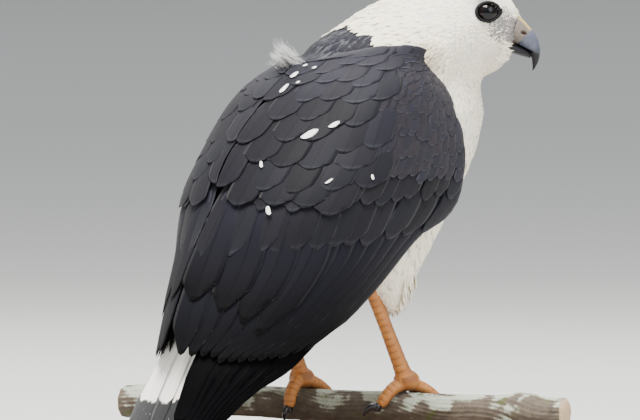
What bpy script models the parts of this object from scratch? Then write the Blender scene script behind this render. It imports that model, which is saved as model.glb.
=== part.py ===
"""White-necked hawk at life size, perched on a cut length of branch on a plain display stand.

Units are metres with +Z up, and the bird's body faces -Y, so its right side is at -X. The origin is
the centre of the stand base's underside. Places on the bird are given in centimetres by spot(), from
the top of the perch midway between the feet, because that is how a bird like this is measured.
"""

import math
from functools import partial

import bmesh
import bpy
import numpy as np
from mathutils import Matrix, Vector

for thing in list(bpy.data.objects):
    bpy.data.objects.remove(thing)

# Driving dimensions
CM = 0.01
GAP = 0.0003
PERCH_TOP = 0.056
FEET_BACK = -0.030
PERCH_RADIUS = 0.0095
PERCH_TURN = math.radians(25)
PERCH_REACH = (-0.135, 0.150)
BASE_SIZE = (0.25, 0.20, 0.014)
BASE_CORNER = 0.03
ROD_RADIUS = 0.0045
ROD_OUT = 0.088
FOOT_OUT = 3.4
EYE_RADIUS = 0.0078

# Each height of the torso: its front, its back and its half width
TORSO = (
    (20.1, -4.6, 2.2, 3.0),
    (19.4, -6.9, 4.0, 4.2),
    (18.0, -8.5, 5.4, 4.9),
    (16.3, -8.8, 6.9, 5.3),
    (14.1, -8.2, 8.7, 5.5),
    (11.6, -6.9, 9.8, 5.3),
    (9.6, -4.8, 10.4, 4.7),
    (8.1, -2.2, 10.7, 3.7),
    (7.1, 1.0, 10.4, 2.6),
    (6.5, 4.0, 9.2, 1.3),
)
# Each height of the neck: its centre to the left and back, its half depth, half width and turn
NECK = (
    (17.6, 0.0, -2.0, 6.2, 4.6, 0),
    (19.0, -0.15, -2.9, 6.4, 4.7, 10),
    (20.4, -0.5, -3.6, 5.95, 4.5, 20),
    (21.5, -0.9, -4.3, 4.9, 4.0, 30),
    (22.6, -1.2, -4.9, 3.9, 3.3, 36),
    (23.5, -1.7, -5.6, 2.9, 2.5, 40),
)
# The head's own frame: its centre, the turn to the bird's right and the dip of the bill
HEAD_CENTRE = (-2.3, -6.2, 22.0)
HEAD_TURN = math.radians(40)
HEAD_DIP = math.radians(20)
# Each step forward along the head: its half width, its top and its underside
HEAD = (
    (-2.9, 1.5, 1.5, -1.4),
    (-1.7, 2.4, 2.4, -2.3),
    (-0.2, 2.75, 2.75, -2.7),
    (1.1, 2.6, 2.72, -2.7),
    (2.1, 2.2, 2.4, -2.95),
    (2.9, 1.75, 1.95, -2.6),
    (3.42, 1.3, 1.4, -1.6),
)


def spot(x, y, z):
    """A place on the bird, in centimetres from the top of the perch between the feet."""
    return Vector((x * CM, y * CM + FEET_BACK, z * CM + PERCH_TOP))


def head_spot(ahead, side, up):
    """A place on the head, in centimetres: side is positive to the bird's right."""
    turn = Matrix.Rotation(-HEAD_TURN, 3, "Z")
    dip = Matrix.Rotation(HEAD_DIP, 3, "X")
    return spot(*HEAD_CENTRE) + turn @ dip @ Vector((-side, -ahead, up)) * CM


def surface(name, colour, roughness, metallic=0.0):
    material = bpy.data.materials.new(name)
    material.use_nodes = True
    shader = material.node_tree.nodes["Principled BSDF"]
    shader.inputs["Base Color"].default_value = (*colour, 1.0)
    shader.inputs["Roughness"].default_value = roughness
    shader.inputs["Metallic"].default_value = metallic
    return material


WHITE_FEATHER = surface("white_feather", (0.80, 0.78, 0.74), 0.8)
SLATE_FEATHER = surface("slate_feather", (0.085, 0.09, 0.10), 0.7)
BLACK_FEATHER = surface("black_feather", (0.02, 0.02, 0.022), 0.7)
HORN = surface("horn", (0.10, 0.11, 0.12), 0.35)
CERE_SKIN = surface("cere_skin", (0.55, 0.52, 0.40), 0.5)
LEG_SCALE = surface("leg_scale", (0.62, 0.40, 0.12), 0.5)
CLAW_HORN = surface("claw_horn", (0.02, 0.02, 0.02), 0.3)
EYE_GLOSS = surface("eye_gloss", (0.03, 0.015, 0.01), 0.08)
BARK = surface("bark", (0.22, 0.17, 0.12), 0.9)
STAND_WOOD = surface("stand_wood", (0.20, 0.11, 0.06), 0.45)
STAND_STEEL = surface("stand_steel", (0.55, 0.55, 0.56), 0.3, 1.0)


def add_object(name, mesh, material):
    """Puts a finished mesh in the scene under its node's name."""
    mesh.name = name
    mesh.materials.clear()
    mesh.materials.append(material)
    mesh.shade_smooth()
    mesh.set_sharp_from_angle(angle=math.radians(40))
    thing = bpy.data.objects.new(name, mesh)
    bpy.context.scene.collection.objects.link(thing)
    return thing


def loft(rings, start=None, end=None):
    """A closed skin over rings of equal count, each end drawn together at a point."""
    form = bmesh.new()
    loops = [[form.verts.new(point) for point in ring] for ring in rings]
    count = len(rings[0])
    for lower, upper in zip(loops, loops[1:]):
        for i in range(count):
            j = (i + 1) % count
            form.faces.new((lower[i], lower[j], upper[j], upper[i]))
    for loop, place in ((loops[0], start), (loops[-1], end)):
        middle = sum((v.co for v in loop), Vector()) / count
        pole = form.verts.new(middle if place is None else place)
        for i in range(count):
            form.faces.new((pole, loop[(i + 1) % count], loop[i]))
    bmesh.ops.recalc_face_normals(form, faces=form.faces)
    bmesh.ops.triangulate(form, faces=form.faces)
    mesh = bpy.data.meshes.new("form")
    form.to_mesh(mesh)
    form.free()
    return mesh


def oval(centre, long_axis, short_axis, sides, squareness=2.0):
    """A ring round centre; a squareness above 2 fills the ring's corners."""
    ring = []
    for i in range(sides):
        angle = 2 * math.pi * i / sides
        along = math.cos(angle)
        across = math.sin(angle)
        along = math.copysign(abs(along) ** (2 / squareness), along)
        across = math.copysign(abs(across) ** (2 / squareness), across)
        ring.append(centre + long_axis * along + short_axis * across)
    return ring


def plate(top, bottom):
    """A closed plate between two rows-by-columns nets, split into triangles alike on both faces."""
    form = bmesh.new()
    nets = [[[form.verts.new(point) for point in row] for row in net] for net in (top, bottom)]
    upper, lower = nets
    last = len(top) - 1
    side = len(top[0]) - 1
    for net in nets:
        for i in range(last):
            for k in range(side):
                form.faces.new((net[i][k], net[i][k + 1], net[i + 1][k + 1]))
                form.faces.new((net[i][k], net[i + 1][k + 1], net[i + 1][k]))
    for i in range(last):
        for k in (0, side):
            form.faces.new((upper[i][k], upper[i + 1][k], lower[i + 1][k]))
            form.faces.new((upper[i][k], lower[i + 1][k], lower[i][k]))
    for k in range(side):
        for i in (0, last):
            form.faces.new((upper[i][k], upper[i][k + 1], lower[i][k + 1]))
            form.faces.new((upper[i][k], lower[i][k + 1], lower[i][k]))
    bmesh.ops.recalc_face_normals(form, faces=form.faces)
    mesh = bpy.data.meshes.new("plate")
    form.to_mesh(mesh)
    form.free()
    return mesh


def net_of(place, alongs, acrosses, lift):
    """Rows of places over a sheet, at one lift."""
    return [[place(along, across, lift) for across in acrosses] for along in alongs]


def tube(path, radii, sides=10):
    """A round limb along a path of points with a radius at each, its ends rounded."""
    rings = []
    for i, (point, radius) in enumerate(zip(path, radii)):
        ahead = path[min(i + 1, len(path) - 1)] - path[max(i - 1, 0)]
        ahead.normalize()
        side = ahead.cross(Vector((0.31, 0.17, 0.93))).normalized()
        rings.append(oval(point, side * radius, ahead.cross(side) * radius, sides))
    first = path[0] + (path[0] - path[1]).normalized() * radii[0] * 0.6
    last = path[-1] + (path[-1] - path[-2]).normalized() * radii[-1] * 0.6
    return loft(rings, first, last)


def largest_only(mesh):
    """Keeps the largest closed surface of a mesh and drops the scraps of a cut or a union."""
    form = bmesh.new()
    form.from_mesh(mesh)
    bmesh.ops.remove_doubles(form, verts=form.verts, dist=2e-6)
    bmesh.ops.triangulate(form, faces=form.faces)
    form.faces.ensure_lookup_table()
    unseen = set(form.faces)
    shells = []
    while unseen:
        queue = [unseen.pop()]
        shell = set(queue)
        while queue:
            for edge in queue.pop().edges:
                for face in edge.link_faces:
                    if face in unseen:
                        unseen.discard(face)
                        shell.add(face)
                        queue.append(face)
        shells.append(shell)
    shells.sort(key=len)
    spare = [face for shell in shells[:-1] for face in shell]
    bmesh.ops.delete(form, geom=spare, context="FACES")
    form.to_mesh(mesh)
    form.free()
    return mesh


def boolean(mesh, others, operation, solver="MANIFOLD"):
    """One Boolean of a mesh with a collection of closed meshes, applied."""
    base = bpy.data.objects.new("base", mesh)
    bpy.context.scene.collection.objects.link(base)
    group = bpy.data.collections.new("pieces")
    helpers = [bpy.data.objects.new("piece", other) for other in others]
    for helper in helpers:
        group.objects.link(helper)
        bpy.context.scene.collection.objects.link(helper)
    modifier = base.modifiers.new("join", "BOOLEAN")
    modifier.operation = operation
    modifier.solver = solver
    modifier.operand_type = "COLLECTION"
    modifier.collection = group
    graph = bpy.context.evaluated_depsgraph_get()
    graph.update()
    result = bpy.data.meshes.new_from_object(base.evaluated_get(graph))
    for helper in [base, *helpers]:
        bpy.data.objects.remove(helper)
    bpy.data.collections.remove(group)
    return largest_only(result)


def grown(mesh, gap=GAP):
    """A copy of a closed mesh whose faces stand out by a gap, to cut its neighbours clear."""
    form = bmesh.new()
    form.from_mesh(mesh)
    form.normal_update()
    moves = [(v, v.normal * v.calc_shell_factor() * gap) for v in form.verts]
    for vertex, move in moves:
        vertex.co += move
    copy = bpy.data.meshes.new("grown")
    form.to_mesh(copy)
    form.free()
    return copy


def cut_clear(mesh, *neighbours):
    """The mesh with a gap left round each neighbour."""
    for neighbour in neighbours:
        mesh = boolean(mesh, [grown(neighbour)], "DIFFERENCE")
    return mesh


def part_by_plane(mesh, point, normal):
    """The side of a mesh that a plane's normal points to, closed flat, half a gap off the plane."""
    form = bmesh.new()
    form.from_mesh(mesh)
    normal = normal.normalized()
    cut = bmesh.ops.bisect_plane(
        form,
        geom=form.verts[:] + form.edges[:] + form.faces[:],
        plane_co=point + normal * GAP / 2,
        plane_no=normal,
        clear_inner=True,
    )
    rim = [item for item in cut["geom_cut"] if isinstance(item, bmesh.types.BMEdge)]
    bmesh.ops.contextual_create(form, geom=rim)
    bmesh.ops.triangulate(form, faces=form.faces)
    bmesh.ops.recalc_face_normals(form, faces=form.faces)
    side = bpy.data.meshes.new("side")
    form.to_mesh(side)
    form.free()
    return side


def ball(centre, radii, turn=Matrix.Identity(3), columns=16, rows=10):
    """A ball or egg of three half sizes in metres."""
    form = bmesh.new()
    bmesh.ops.create_uvsphere(form, u_segments=columns, v_segments=rows, radius=1.0)
    for vertex in form.verts:
        vertex.co = centre + turn @ Vector([c * r for c, r in zip(vertex.co, radii)])
    bmesh.ops.triangulate(form, faces=form.faces)
    mesh = bpy.data.meshes.new("ball")
    form.to_mesh(mesh)
    form.free()
    return mesh


# Torso, neck and head, made whole and parted by thin plane cuts
def torso_form(sides=22):
    rings = []
    for height, front, back, half_width in TORSO:
        centre = spot(0, (front + back) / 2, height)
        depth = Vector((0, (back - front) / 2 * CM, 0))
        rings.append(oval(centre, depth, Vector((half_width * CM, 0, 0)), sides, 2.3))
    return loft(rings, spot(0, -1.0, 20.5), spot(0, 6.4, 6.2))


def neck_form(sides=18):
    rings = []
    for height, left, back, half_depth, half_width, turn in NECK:
        turned = Matrix.Rotation(-math.radians(turn), 3, "Z")
        depth = turned @ Vector((0, half_depth * CM, 0))
        width = turned @ Vector((half_width * CM, 0, 0))
        rings.append(oval(spot(left, back, height), depth, width, sides))
    return loft(rings, spot(0, -2.0, 17.3), spot(-2.0, -6.0, 24.0))


def head_form(sides=18):
    rings = []
    for ahead, half_width, top, under in HEAD:
        centre = head_spot(ahead, 0, (top + under) / 2)
        width = head_spot(ahead, half_width, (top + under) / 2) - centre
        height = head_spot(ahead, 0, top) - centre
        rings.append(oval(centre, height, width, sides, 2.15))
    return loft(rings, head_spot(-3.3, 0, 0.1), head_spot(3.45, 0, -0.05))


NECK_PLANE = (spot(0, -2.6, 19.2), Vector((-0.05, -0.45, 0.9)))
HEAD_PLANE = (spot(-1.3, -4.9, 21.0), Vector((-0.42, -0.5, 0.76)))
TORSO_MESH = torso_form()
NECK_MESH = neck_form()
BODY_MESH = boolean(TORSO_MESH.copy(), [NECK_MESH.copy(), head_form()], "UNION")


def mouth_slit():
    """The line of the mouth, a thin wedge that runs back from the bill to below the eye."""
    outline = ((2.6, -0.34), (4.3, -0.47), (4.3, -0.58))
    sides = [[head_spot(ahead, side, up) for ahead, up in outline] for side in (3, -3)]
    return loft(sides)


def eye_spot(side):
    return head_spot(1.35, side * 1.72, 0.72)


def make_head():
    whole = part_by_plane(BODY_MESH, HEAD_PLANE[0], HEAD_PLANE[1])
    lids = []
    for side in (-1, 1):
        centre = eye_spot(side)
        brow = [
            head_spot(0.2, side * 2.45, 1.25),
            head_spot(1.0, side * 2.42, 1.62),
            head_spot(1.8, side * 2.2, 1.5),
            head_spot(2.5, side * 1.75, 1.05),
        ]
        lids.append(tube(brow, [0.0018, 0.0032, 0.0032, 0.0015], 6))
        outward = (head_spot(1.35, side * 3, 0.72) - centre).normalized()
        lids.append(lid_ring(centre, outward))
    whole = boolean(whole, lids, "UNION")
    for side in (-1, 1):
        socket = ball(eye_spot(side), [EYE_RADIUS + GAP] * 3, columns=14, rows=8)
        whole = boolean(whole, [socket], "DIFFERENCE")
    return boolean(whole, [mouth_slit()], "DIFFERENCE")


def lid_ring(centre, outward):
    """The rim of the lids, a ring round the eyeball, longer than it is high."""
    ahead = (head_spot(1, 0, 0) - head_spot(0, 0, 0)).normalized()
    ahead = (ahead - outward * ahead.dot(outward)).normalized()
    up = outward.cross(ahead)
    form = bmesh.new()
    steps = 14
    loops = []
    for i in range(steps):
        angle = 2 * math.pi * i / steps
        out = ahead * math.cos(angle) * 1.0 + up * math.sin(angle) * 0.86
        middle = centre + outward * EYE_RADIUS * 0.62 + out * EYE_RADIUS * 0.84
        rim = oval(middle, out.normalized() * 0.0016, outward * 0.0016, 5)
        loops.append([form.verts.new(point) for point in rim])
    for i in range(steps):
        near = loops[i]
        far = loops[(i + 1) % steps]
        for k in range(5):
            m = (k + 1) % 5
            form.faces.new((near[k], near[m], far[m], far[k]))
    bmesh.ops.recalc_face_normals(form, faces=form.faces)
    bmesh.ops.triangulate(form, faces=form.faces)
    mesh = bpy.data.meshes.new("lid")
    form.to_mesh(mesh)
    form.free()
    return mesh


def make_neck():
    upper = part_by_plane(BODY_MESH, NECK_PLANE[0], NECK_PLANE[1])
    return part_by_plane(upper, HEAD_PLANE[0], -HEAD_PLANE[1])


def make_torso():
    return part_by_plane(BODY_MESH, NECK_PLANE[0], -NECK_PLANE[1])


# Bill
# Each step along the bill: how far ahead, its top, the cutting edge below it and its half width
UPPER_BILL = (
    (4.09, 0.78, -0.51, 0.90),
    (4.45, 0.60, -0.58, 0.74),
    (4.78, 0.30, -0.66, 0.56),
)
CERE_STEPS = ((3.48, 1.10, -0.46, 1.08), (3.80, 0.95, -0.47, 1.00), (4.05, 0.80, -0.50, 0.92))
LOWER_BILL = (
    (3.48, -0.52, -1.06, 0.96),
    (4.0, -0.56, -1.05, 0.76),
    (4.5, -0.66, -1.0, 0.46),
)
# Each step round the hook: its middle ahead and up, its lean in degrees, its half sizes
HOOK_STEPS = (
    (4.90, -0.465, 32, 0.373, 0.44),
    (5.05, -0.75, 50, 0.262, 0.30),
    (5.14, -1.075, 65, 0.177, 0.20),
    (5.17, -1.39, 82, 0.08, 0.09),
)
BILL_TIP = (5.16, -1.60)
NOSTRIL = (3.90, 0.96, 0.34)
NOSTRIL_SIZE = (0.0018, 0.0011, 0.0021)


def bill_rings(steps, sides=12):
    rings = []
    for ahead, top, under, half_width in steps:
        centre = head_spot(ahead, 0, (top + under) / 2)
        width = head_spot(ahead, half_width, (top + under) / 2) - centre
        height = head_spot(ahead, 0, top) - centre
        rings.append(oval(centre, height, width, sides, 2.3))
    return rings


def make_upper_bill():
    """The upper half turns down from the cere into its hook."""
    rings = bill_rings(UPPER_BILL)
    for ahead, up, lean, thick, half_width in HOOK_STEPS:
        centre = head_spot(ahead, 0, up)
        lean = math.radians(lean)
        outer = head_spot(ahead + thick * math.sin(lean), 0, up + thick * math.cos(lean)) - centre
        width = head_spot(ahead, half_width, up) - centre
        rings.append(oval(centre, outer, width, 12, 2.1))
    return loft(rings, None, head_spot(BILL_TIP[0], 0, BILL_TIP[1]))


def make_lower_bill():
    rings = bill_rings(LOWER_BILL)
    lower = loft(rings, None, head_spot(4.78, 0, -0.94))
    return cut_clear(lower, make_upper_bill(), loft(bill_rings(CERE_STEPS)))


def make_cere():
    band = loft(bill_rings(CERE_STEPS))
    for side in (-1, 1):
        turn = Matrix.Rotation(-HEAD_TURN, 3, "Z") @ Matrix.Rotation(HEAD_DIP, 3, "X")
        place = head_spot(NOSTRIL[0], side * NOSTRIL[1], NOSTRIL[2])
        nostril = ball(place, NOSTRIL_SIZE, turn, 10, 6)
        band = boolean(band, [nostril], "DIFFERENCE")
    return band


# Tail: twelve feathers fanned from the rump, the middle pair on top
TAIL_ROOT = (0.0, 7.9, 11.7)
TAIL_TIP = (0.5, 15.8, -3.5)
TAIL_HALF_ROOT = 1.3
TAIL_HALF_TIP = 3.6
TAIL_ARCH = 0.7


def tail_spot(along, across, lift):
    """A place on the tail: along from root to tip, across from -1 to 1, lift in millimetres."""
    root = Vector(TAIL_ROOT)
    tip = Vector(TAIL_TIP)
    run = (tip - root).normalized()
    outward = Vector((1, 0, 0)).cross(run)
    half = TAIL_HALF_ROOT + (TAIL_HALF_TIP - TAIL_HALF_ROOT) * along
    sink = TAIL_ARCH * across**2 * (0.6 + 0.4 * along)
    shorter = 0.35 * across**2 * along
    place = root + (tip - root) * along - run * shorter
    place += Vector((half * across, 0, 0)) + outward * (lift / 10 - sink)
    return spot(*place)


def tail_form():
    """The whole tail as one plain plate, which its feathers stay inside."""
    alongs = np.linspace(0, 1, 9)
    acrosses = np.linspace(-1.06, 1.06, 9)
    return plate(*(net_of(tail_spot, alongs, acrosses, lift) for lift in (0.2, -3.6)))


TAIL_MESH = tail_form()


# Wings: a folded wing is a sheet that wraps the body, swept from its shoulder to its tip
# Each rib across the wing, as places out from the middle, back and up: its upper edge over the
# back, its fullest place and its lower edge
WING_RIBS = (
    ((0.6, 4.6, 19.3), (4.4, 1.4, 19.6), (4.5, -2.1, 19.2)),
    ((0.5, 7.0, 17.3), (6.2, 3.4, 17.5), (5.3, -3.1, 17.4)),
    ((0.4, 9.5, 14.3), (6.9, 5.2, 14.1), (6.0, -3.7, 14.1)),
    ((0.3, 11.1, 11.2), (6.9, 6.9, 11.0), (6.2, -2.7, 10.9)),
    ((0.3, 12.7, 7.9), (6.4, 7.8, 8.0), (6.2, 0.6, 8.4)),
    ((0.4, 13.8, 5.0), (5.4, 9.6, 5.1), (6.0, 4.1, 5.3)),
    ((0.7, 14.5, 2.1), (3.9, 12.0, 2.0), (5.3, 8.6, 1.9)),
    ((1.0, 15.2, -0.3), (3.0, 13.4, -0.2), (4.2, 11.3, 0.2)),
    ((1.3, 15.8, -2.0), (2.4, 14.6, -2.0), (3.3, 13.0, -1.5)),
    ((1.7, 16.2, -3.0), (1.9, 15.9, -3.0), (2.1, 15.6, -3.0)),
)
RIBS = np.array(WING_RIBS, dtype=float)
TIP = len(WING_RIBS) - 1


def smooth_rib(along):
    """The rib's three places at any distance along, by a smooth curve through the ribs."""
    along = min(max(along, 0.0), TIP - 1e-6)
    k = int(along)
    t = along - k
    before, here, there, after = (RIBS[min(max(k + d, 0), TIP)] for d in (-1, 0, 1, 2))
    slope_here = (there - before) / 2
    slope_there = (after - here) / 2
    return (
        here * (2 * t**3 - 3 * t**2 + 1)
        + slope_here * (t**3 - 2 * t**2 + t)
        + there * (3 * t**2 - 2 * t**3)
        + slope_there * (t**3 - t**2)
    )


def sheet_spot(along, across):
    upper, middle, lower = smooth_rib(along)
    bulge = 2 * middle - (upper + lower) / 2
    return upper * (1 - across) ** 2 + 2 * bulge * across * (1 - across) + lower * across**2


def wing_spot(side, along, across, lift):
    """A place on a folded wing: along in ribs, across from 0 at the back, lift in millimetres."""
    step = 0.02
    here = sheet_spot(along, across)
    run = sheet_spot(along + step, across) - sheet_spot(along - step, across)
    turn = sheet_spot(along, across + step) - sheet_spot(along, across - step)
    outward = np.cross(turn, run)
    outward /= np.linalg.norm(outward)
    out, back, up = here + outward * lift / 10
    return spot(side * max(out, 0.03), back, up)


# The left wing's tip hangs past the tail's edge, out and forward of where a mirrored one would lie
DROOP_OUT = 0.016
DROOP_AHEAD = 0.023
DROOP_SPAN = (4.6, 7.2)


def hand_spot(side, along, across, lift):
    """A place on the primaries' sheet, which droops on the left."""
    place = wing_spot(side, along, across, lift)
    share = min(max((along - DROOP_SPAN[0]) / (DROOP_SPAN[1] - DROOP_SPAN[0]), 0.0), 1.0)
    if side > 0:
        drift = Vector((DROOP_OUT * (1 - across), -DROOP_AHEAD, 0.0))
        place += drift * share**2 * (3 - 2 * share)
    return place


def wing_core(side, start, end, outer, inner, rows, columns):
    """The slab of a wing's sheet that carries one tier's roots, between two lifts."""
    alongs = np.linspace(start, end, rows + 1)
    acrosses = np.linspace(*CORE_SPAN, columns + 1)
    sheet = partial(wing_spot, side)
    return plate(*(net_of(sheet, alongs, acrosses, lift) for lift in (outer, inner)))


def vane(place, start, end, root, tip, half, lift, tilt, ridge, outline):
    """One feather: it runs from start to end and from root to tip across, with half its width in
    across units, its under side at a lift that may change along it, and one edge tilted up."""
    columns = (-1, 0, 1) if ridge else (-1, 1)
    nets = []
    for layer in (1, 0):
        net = []
        for t, share in outline:
            along = start + (end - start) * t
            middle = root + (tip - root) * t
            row = []
            for edge in columns:
                height = lift(along) + tilt * edge + layer * (VANE_THICK + (ridge if edge == 0 else 0))
                row.append(place(along, middle + half * share * edge, height))
            net.append(row)
        nets.append(net)
    return plate(*nets)


# Along a feather: how far from its root, and its width there as a share of its widest
COVERT_OUTLINE = ((0.0, 0.75), (0.5, 1.0), (0.88, 0.85), (1.0, 0.3))
FLIGHT_OUTLINE = ((0.0, 0.75), (0.22, 0.85), (0.45, 0.95), (0.7, 1.0), (0.9, 0.82), (1.0, 0.4))
TAIL_OUTLINE = ((0.0, 0.75), (0.25, 0.85), (0.5, 0.95), (0.75, 1.0), (0.93, 0.95), (1.0, 0.62))
VANE_THICK = 0.6
VANE_TILT = 0.75
SHAFT_RIDGE = 0.3
CORE_SPAN = (0.02, 0.98)


def blend(along, *knots):
    """A value that runs in straight lines through (along, value) knots."""
    places, values = zip(*knots)
    return float(np.interp(along, places, values))


def flight_lift(along):
    return blend(along, (3.75, -6.9), (4.3, -3.2), (6.1, -1.9))


def hand_lift(along):
    return blend(along, (3.3, -11.8), (3.75, -11.2), (4.6, -8.0), (6.1, -6.0), (6.6, -3.2), (TIP, -1.4))


# Each tier of coverts: its count, where its feathers root and end along the wing, where the first
# and last lie across it, and the lifts of its roots and tips
COVERTS = (
    (4, 0.25, 1.55, 0.12, 0.75, -5.4, -1.6),
    (5, 1.15, 2.55, 0.12, 0.9, -5.4, -1.7),
    (7, 2.2, 3.6, 0.08, 0.91, -5.4, -2.6),
)


def make_coverts(side):
    core = wing_core(side, 0.0, 2.88, -3.9, -24.0, 6, 6)
    vanes = []
    draw = np.random.default_rng(11)
    for count, start, end, first, last, root_lift, tip_lift in COVERTS:
        pitch = (last - first) / (count - 1)
        for i in range(count):
            across = first + pitch * i
            near = start + draw.uniform(-0.06, 0.06)
            far = end + draw.uniform(-0.1, 0.06) - 0.12 * across
            rise = ((near, root_lift), (far, tip_lift))
            vanes.append(
                vane(
                    partial(wing_spot, side), near, far, across, across - 0.03, pitch * 0.64,
                    lambda a, rise=rise: blend(a, *rise), VANE_TILT, 0, COVERT_OUTLINE,
                )
            )
    return cut_clear(boolean(core, vanes, "UNION"), TORSO_MESH, NECK_MESH)


SECONDARIES = 8
PRIMARIES = 6


def make_secondaries(side):
    """The secondaries and, nearest the back, the shorter tertials that lie over them."""
    core = wing_core(side, 2.89, 3.9, -5.7, -7.5, 3, 7)
    core = cut_clear(core, TORSO_MESH)
    vanes = []
    for i in range(SECONDARIES):
        share = i / (SECONDARIES - 1)
        across = 0.06 + 0.84 * share
        end = 5.75 + 0.45 * math.sin(math.pi * min(1.0, 0.25 + share * 0.75))
        vanes.append(
            vane(
                partial(wing_spot, side), 3.0, end, across, across * 0.97, 0.080, flight_lift,
                VANE_TILT, SHAFT_RIDGE, FLIGHT_OUTLINE,
            )
        )
    return boolean(core, vanes, "UNION")


def make_primaries(side):
    core = wing_core(side, 2.9, 4.2, -8.5, -12.5, 4, 7)
    core = cut_clear(core, TORSO_MESH)
    vanes = []
    for i in range(PRIMARIES):
        share = i / (PRIMARIES - 1)
        across = 0.2 + 0.72 * share
        end = 6.9 + (TIP - 0.1 - 6.9) * (0.35 + 0.65 * share) if share < 1 else TIP - 0.5
        vanes.append(
            vane(
                partial(hand_spot, side), 3.4, end, across, across, 0.098, hand_lift, VANE_TILT,
                SHAFT_RIDGE, FLIGHT_OUTLINE,
            )
        )
    hand = boolean(core, vanes, "UNION")
    return largest_only(cut_clear(hand, TAIL_MESH))


def make_wing(side, label):
    add_object(f"wing_{label}_coverts", make_coverts(side), SLATE_FEATHER)
    add_object(f"wing_{label}_secondaries", make_secondaries(side), SLATE_FEATHER)
    add_object(f"wing_{label}_primaries", make_primaries(side), BLACK_FEATHER)


TAIL_FEATHERS = 6


def make_tail():
    """Six feathers a side, each outer one tucked under the next, on a short core in the rump."""
    alongs = np.linspace(0.12, 0.5, 4)
    acrosses = np.linspace(-0.9, 0.9, 7)
    core = plate(*(net_of(tail_spot, alongs, acrosses, lift) for lift in (-0.9, -3.4)))
    vanes = []
    for side in (-1, 1):
        for i in range(TAIL_FEATHERS):
            across = (i + 0.5) / TAIL_FEATHERS * 0.96
            vanes.append(
                vane(
                    lambda a, b, h, side=side: tail_spot(a, side * b, h),
                    0.2, 1.0 - 0.012 * i, across * 0.9, across, 0.105, tail_lift, 0.7,
                    SHAFT_RIDGE, TAIL_OUTLINE,
                )
            )
    tail = boolean(core, vanes, "UNION")
    return cut_clear(tail, TORSO_MESH)


def tail_lift(along):
    return blend(along, (0.2, -2.4), (1.0, -1.75))


# Legs
# Each height of a thigh's feathers: its centre out and back, its half depth and its half width
THIGH = (
    (12.6, 3.0, -1.6, 2.6, 1.3),
    (11.4, 3.3, -1.1, 3.7, 1.75),
    (9.7, 3.35, -0.1, 3.85, 1.75),
    (7.6, 3.4, 0.4, 2.8, 1.6),
    (5.9, 3.5, 0.3, 1.35, 1.2),
    (4.8, 3.5, 0.05, 0.7, 0.8),
)
HEEL = {-1: (-3.5, 2.7, 8.3), 1: (3.5, 3.6, 8.3)}
SHANK_RADII = (0.0060, 0.0049, 0.0042, 0.0041, 0.0046, 0.0056)


def foot_place(side):
    """The middle of a foot, in centimetres, on top of the turned perch."""
    return Vector((side * FOOT_OUT * math.cos(PERCH_TURN), side * FOOT_OUT * math.sin(PERCH_TURN), 0))


def thigh_form(side, sides=18):
    back = 1.1 if side > 0 else 0.0
    rings = []
    for height, out, behind, half_depth, half_width in THIGH:
        centre = spot(side * out, behind + back * (12.6 - height) / 7.8, height)
        depth = Vector((0, half_depth * CM, 0))
        rings.append(oval(centre, depth, Vector((half_width * CM, 0, 0)), sides))
    low = spot(side * 3.5, -0.05 + back, 4.35)
    return loft(rings, spot(side * 2.9, -1.6, 13.2), low)


def shank_path(side):
    heel = Vector(HEEL[side])
    foot = foot_place(side) + Vector((0, 0, 0.75))
    places = [heel + (foot - heel) * t for t in (0.0, 0.12, 0.35, 0.6, 0.85, 1.0)]
    return [spot(*place) for place in places]


def perch_axis(along):
    """The middle of the branch at a distance along it, in metres, with its slow bends."""
    feet = spot(0, 0, 0)
    run = Vector((math.cos(PERCH_TURN), math.sin(PERCH_TURN), 0))
    drop = 0.0016 * math.sin(along * 21 + 0.4) * min(1.0, (along / 0.06) ** 2)
    sway = 0.0022 * math.sin(along * 17) * min(1.0, (along / 0.06) ** 2)
    aside = Vector((-run.y, run.x, 0))
    return feet + run * along + aside * sway + Vector((0, 0, drop - PERCH_RADIUS))


def perch_radius(along):
    knot = 0.0028 * math.exp(-(((along + 0.108) / 0.012) ** 2))
    return PERCH_RADIUS * (1 + 0.05 * math.sin(along * 60) * min(1.0, (along / 0.06) ** 2)) + knot


def perch_form(sides=12, steps=20):
    rings = []
    start, end = PERCH_REACH
    run = Vector((math.cos(PERCH_TURN), math.sin(PERCH_TURN), 0))
    side = Vector((-run.y, run.x, 0))
    for i in range(steps + 1):
        along = start + (end - start) * i / steps
        radius = perch_radius(along)
        rings.append(oval(perch_axis(along), Vector((0, 0, radius)), side * radius, sides))
    return loft(rings)


# Each toe: its heading from straight ahead, its length, its thickness and its claw's length
TOES = (
    ("outer", 42, 0.029, 0.0040, 0.013),
    ("middle", 4, 0.035, 0.0044, 0.015),
    ("inner", -38, 0.028, 0.0044, 0.017),
)
# The back toe's heading on the right foot and on the left one
BACK_HEADING = {-1: 209, 1: 176}


def wrap_spot(side, heading, reach, radius):
    """A place on the branch under a foot, reached by going out along a heading over the bark."""
    run = Vector((math.cos(PERCH_TURN), math.sin(PERCH_TURN), 0))
    ahead = Vector((run.y, -run.x, 0))
    along = side * FOOT_OUT * CM
    angle = math.radians(heading)
    shift = -side * math.sin(angle) * reach
    arc = math.cos(angle) * reach
    orbit = PERCH_RADIUS + radius
    swing = arc / orbit
    centre = perch_axis(along) + run * -shift
    return centre + Vector((0, 0, orbit * math.cos(swing))) + ahead * orbit * math.sin(swing)


def toes_of(side):
    """A foot's toes; the right foot's back toe grips further inward than the left one's."""
    return TOES + (("back", BACK_HEADING[side], 0.023, 0.0046, 0.017),)


def toe_mesh(side, heading, length, thickness):
    steps = 6
    path = []
    radii = []
    for i in range(steps + 1):
        t = i / steps
        radius = thickness * (1.0 - 0.28 * t)
        path.append(wrap_spot(side, heading, length * t, radius + 0.0006))
        radii.append(radius * (1.0 if i % 2 else 0.93))
    return tube(path, radii, 7)


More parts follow.
